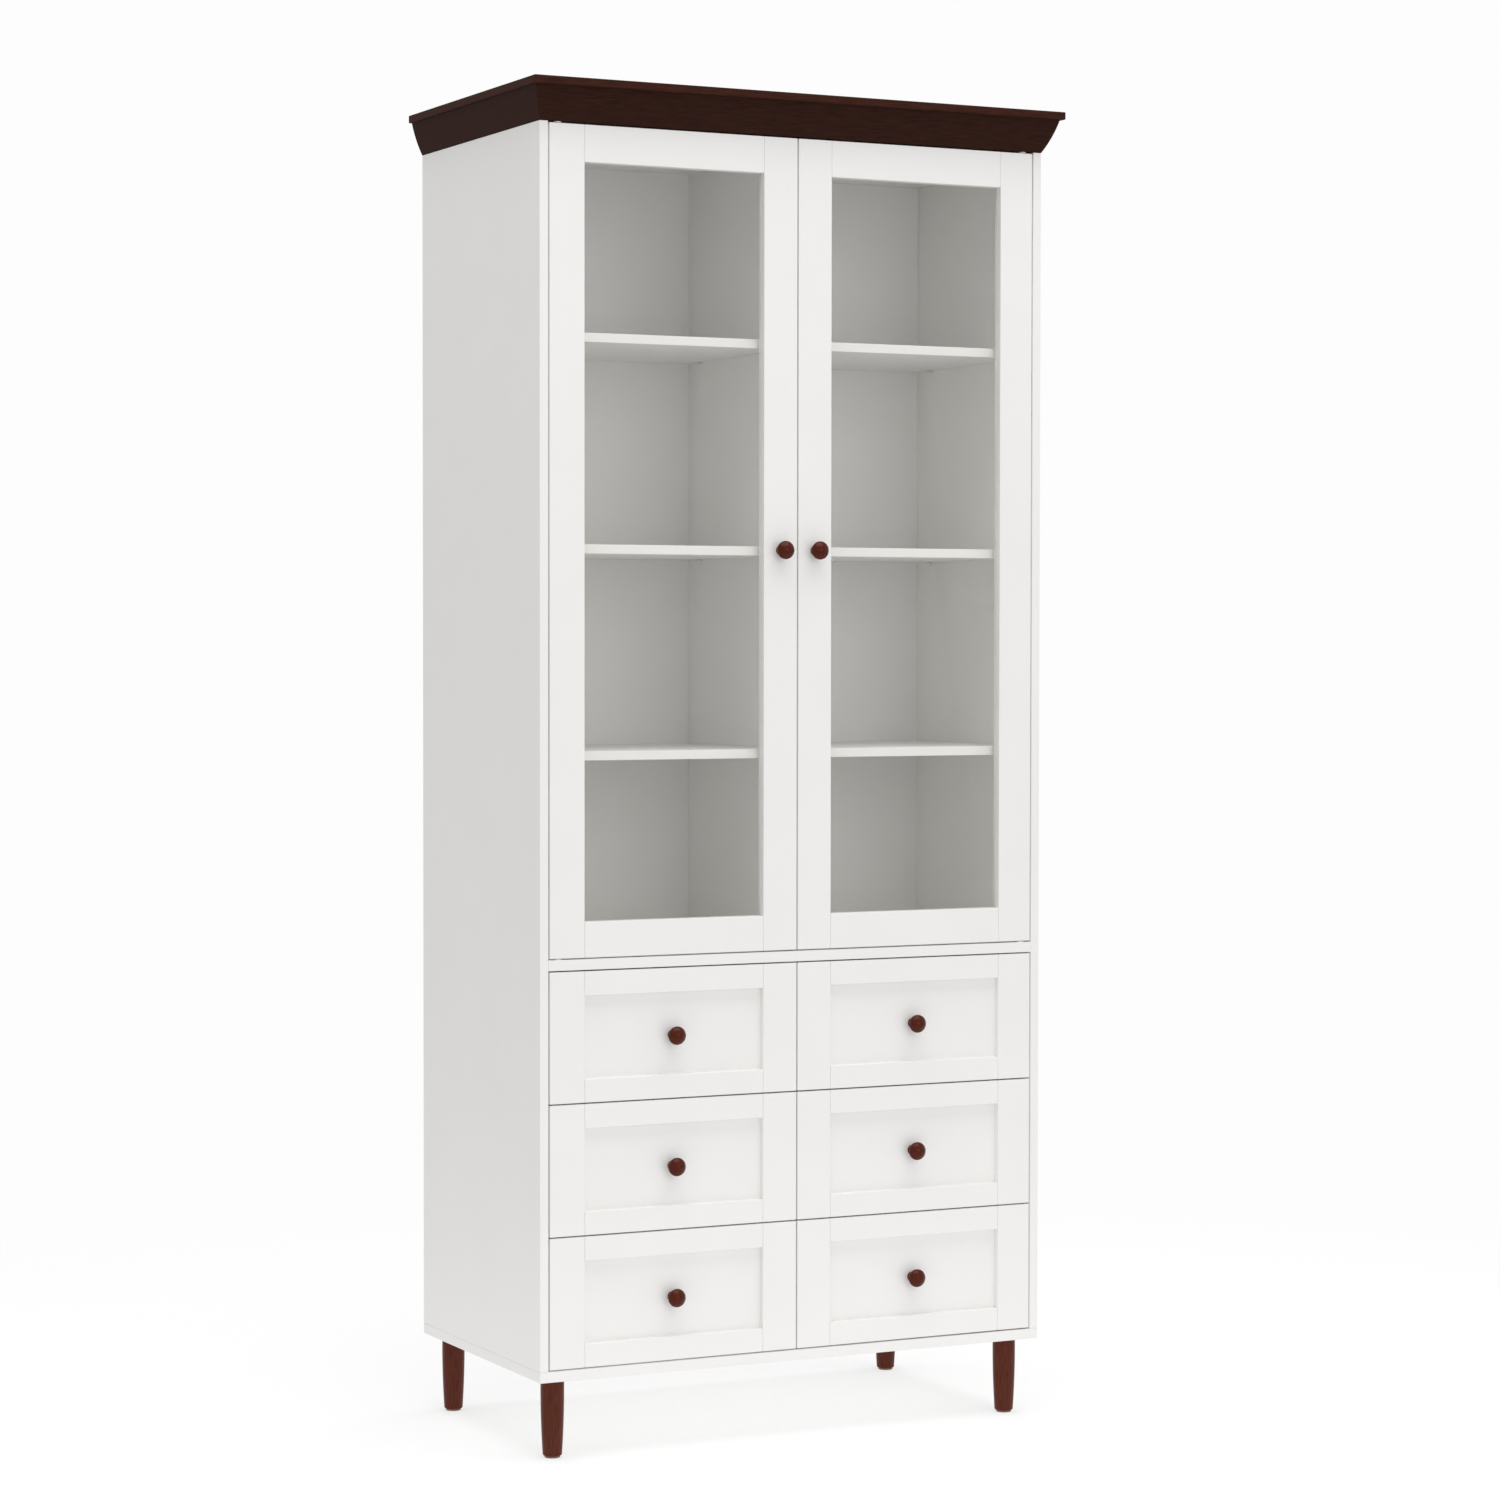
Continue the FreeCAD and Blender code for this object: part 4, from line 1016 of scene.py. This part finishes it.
class CABINET_OT_fittings(bpy.types.Operator):
    """Shelf pins, cam locks, screws, nails and wall angles"""

    bl_idname = "cabinet.fittings"
    bl_label = "Fittings"

    def execute(self, context):
        self.shelf_pins()
        self.cam_locks()
        self.back_nails()
        self.screws()
        repaint("wall_brackets", "zinc_plated_steel")
        return {"FINISHED"}

    def shelf_pins(self):
        """White pins with a rounded free end, set from the left and from the right."""
        pins = islands("shelf_pins")
        radius = (pins[0][1].z - pins[0][0].z) / 2
        reach = pins[0][1].x - pins[0][0].x
        pin = pattern("shelf_pin", [
            (0, 0), (radius - 0.4 * MM, 0), (radius, 0.5 * MM), (radius, reach - 1.2 * MM),
            (radius - 0.35 * MM, reach - 0.4 * MM), (radius - 1.0 * MM, reach), (0, reach)
        ], 24)
        spots = {1: [], -1: []}
        for low, high in pins:
            way = into_bay(low, high)
            spots[way].append(Vector((low.x if way > 0 else high.x, (low.y + high.y) / 2, (low.z + high.z) / 2)))
        for name, way in (("rightward", 1), ("leftward", -1)):
            item = set_pieces("shelf_pins_" + name, spots[way], pin, "moulded_nylon", (way, 0, 0))
            dress(item, None, "root", "nylon", "shelf_pins")
        bpy.data.objects.remove(pin)

    def cam_locks(self):
        """Discs with a cross slot, let into the undersides of the boards."""
        discs = islands("cam_locks")
        radius = (discs[0][1].x - discs[0][0].x) / 2
        deep = discs[0][1].z - discs[0][0].z
        rim, edge = radius - 0.1 * MM, 0.6 * MM
        disc = pattern("cam", [(0, 0), (rim, 0), (rim, deep - edge), (rim - edge, deep), (0, deep)], 32)
        cross_slot(disc, radius * 0.6, 0.7 * MM, deep - 2.5 * MM, deep + MM)
        spots = [Vector(((low.x + high.x) / 2, (low.y + high.y) / 2, high.z)) for low, high in discs]
        steel_set("cam_lock_discs", spots, disc, (0, 0, -1), "root", "cam_locks")
        bpy.data.objects.remove(disc)

    def back_nails(self):
        """Small nails through the edges of the back panel."""
        low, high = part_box("back_panel")
        edge = 7 * MM
        spots = border(low, high, edge, sizes().nail_pitch)
        upward = round((high.z - low.z) / sizes().nail_pitch)
        foot, top = Vector((0, high.y, low.z + edge)), Vector((0, high.y, high.z - edge))
        spots.extend(along(foot, top, upward + 1)[1:-1])
        head = 1.6 * MM
        nail = pattern("nail", [(0, 0), (head, 0), (head, 0.35 * MM), (1.1 * MM, 0.7 * MM), (0, 0.8 * MM)], 12)
        steel_set("back_panel_nails", spots, nail, (0, 1, 0), "root")
        bpy.data.objects.remove(nail)

    def screws(self):
        """Screw heads of the runners, the base and the wall angles."""
        pan = screw_head(3.2 * MM, 1.6 * MM)
        leftward, downward, rightward = (-1, 0, 0), (0, 0, -1), (1, 0, 0)
        spots = {leftward: [], downward: [], rightward: []}
        web, half_board, leaf, hole_in = 1.2 * MM, 6.5 * MM, 2.5 * MM, 14 * MM
        for low, high in islands("runner_channels"):
            way = into_bay(low, high)
            face = (low.x if way > 0 else high.x) + way * web
            for share in (0.1, 0.5, 0.9):
                spots[way, 0, 0].append(Vector((face, low.y + share * (high.y - low.y), (low.z + high.z) / 2)))
        low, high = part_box("base_panel")
        for x in (low.x + half_board, 0, high.x - half_board):
            for y in (low.y + 100 * MM, (low.y + high.y) / 2, high.y - 120 * MM):
                spots[downward].append(Vector((x, y, low.z)))
        for low, high in islands("wall_brackets"):
            for share in (0.3, 0.7):
                across = low.x + share * (high.x - low.x)
                spots[downward].append(Vector((across, low.y + hole_in, high.z - leaf)))
        for number, (way, places) in enumerate(spots.items()):
            steel_set(f"pan_head_screws_{number}", places, pan, way, "root")
        bpy.data.objects.remove(pan)


class CABINET_OT_stage(bpy.types.Operator):
    """Pale floor, soft studio light and the camera"""

    bl_idname = "cabinet.stage"
    bl_label = "Stage"

    def execute(self, context):
        stage = context.scene.cabinet_stage
        self.floor()
        self.sky(context, stage)
        self.softbox("top_softbox", (0.0, -0.6, 4.6), (0.0, 0.0, 0.0), 4.0, stage.top_light)
        self.softbox("front_softbox", (0.2, -6.0, 1.9), (0.0, 0.0, 1.0), 3.0, stage.front_light)
        self.camera(context, stage)
        context.scene.view_settings.view_transform = "Standard"
        # The white inside of the cabinet is lit by light that bounces many times.
        context.scene.cycles.diffuse_bounces = 12
        context.scene.cycles.max_bounces = 16
        return {"FINISHED"}

    def floor(self):
        mesh = bmesh.new()
        bmesh.ops.create_grid(mesh, x_segments=2, y_segments=2, size=3)
        floor = obj_from("floor", mesh)
        floor.data.materials.append(finish_of("studio_floor"))

    def sky(self, context, stage):
        world = bpy.data.worlds.new("studio")
        world.use_nodes = True
        tree = world.node_tree
        tree.nodes.clear()
        white = (*paint("#fdfdfd"), 1)
        lit = add(tree, "ShaderNodeBackground", {"Color": (1, 1, 1, 1), "Strength": stage.sky})
        seen = add(tree, "ShaderNodeBackground", {"Color": white, "Strength": 1.0})
        path = add(tree, "ShaderNodeLightPath")
        both = add(tree, "ShaderNodeMixShader", {0: path.outputs["Is Camera Ray"], 1: lit, 2: seen})
        add(tree, "ShaderNodeOutputWorld", {"Surface": both})
        context.scene.world = world

    def softbox(self, name, place, target, size, power):
        data = bpy.data.lights.new(name, "AREA")
        data.shape = "SQUARE"
        data.size = size
        data.energy = power
        lamp = bpy.data.objects.new(name, data)
        way = Vector(target) - Vector(place)
        lamp.matrix_world = Matrix.Translation(place) @ way.to_track_quat("-Z", "Y").to_matrix().to_4x4()
        bpy.context.scene.collection.objects.link(lamp)

    def camera(self, context, stage):
        data = bpy.data.cameras.new("camera")
        data.sensor_width = 36
        data.lens = stage.lens
        data.clip_end = 100
        camera = bpy.data.objects.new("camera", data)
        # A camera looks straight down when it's unturned.
        turn = Matrix.Rotation(-stage.camera_turn, 4, "Z")
        rise = Matrix.Rotation(math.pi / 2 + stage.camera_tilt, 4, "X")
        roll = Matrix.Rotation(stage.camera_roll, 4, "Z")
        camera.matrix_world = Matrix.Translation(stage.camera_at) @ turn @ rise @ roll
        context.scene.collection.objects.link(camera)
        context.scene.camera = camera


class CABINET_PT_panel(bpy.types.Panel):
    """Lists the cabinet's operators and settings"""

    bl_idname = "CABINET_PT_panel"
    bl_label = "China Cabinet"
    bl_space_type = "VIEW_3D"
    bl_region_type = "UI"
    bl_category = "Cabinet"

    def draw(self, context):
        for kind in OPERATORS:
            self.layout.operator(kind.bl_idname)
        for settings in SETTINGS:
            group = getattr(context.scene, settings)
            box = self.layout.box()
            for name in group.bl_rna.properties.keys():
                if name not in ("rna_type", "name"):
                    box.prop(group, name)


OPERATORS = (
    CABINET_OT_stage,
    CABINET_OT_carcass,
    CABINET_OT_crown,
    CABINET_OT_legs,
    CABINET_OT_doors,
    CABINET_OT_drawers,
    CABINET_OT_knobs,
    CABINET_OT_fittings,
)
SETTINGS = {"cabinet_sizes": CabinetSizes, "cabinet_colours": CabinetColours, "cabinet_stage": CabinetStage}
KINDS = (*SETTINGS.values(), *OPERATORS, CABINET_PT_panel)


def register():
    for kind in KINDS:
        bpy.utils.register_class(kind)
    for name, kind in SETTINGS.items():
        setattr(bpy.types.Scene, name, PointerProperty(type=kind))


def unregister():
    for name in SETTINGS:
        delattr(bpy.types.Scene, name)
    for kind in reversed(KINDS):
        bpy.utils.unregister_class(kind)


def main():
    register()
    bpy.ops.cabinet.stage()
    bpy.ops.cabinet.carcass()
    bpy.ops.cabinet.crown()
    bpy.ops.cabinet.legs()
    bpy.ops.cabinet.doors()
    bpy.ops.cabinet.drawers()
    bpy.ops.cabinet.knobs()
    bpy.ops.cabinet.fittings()


if __name__ == "__main__":
    main()
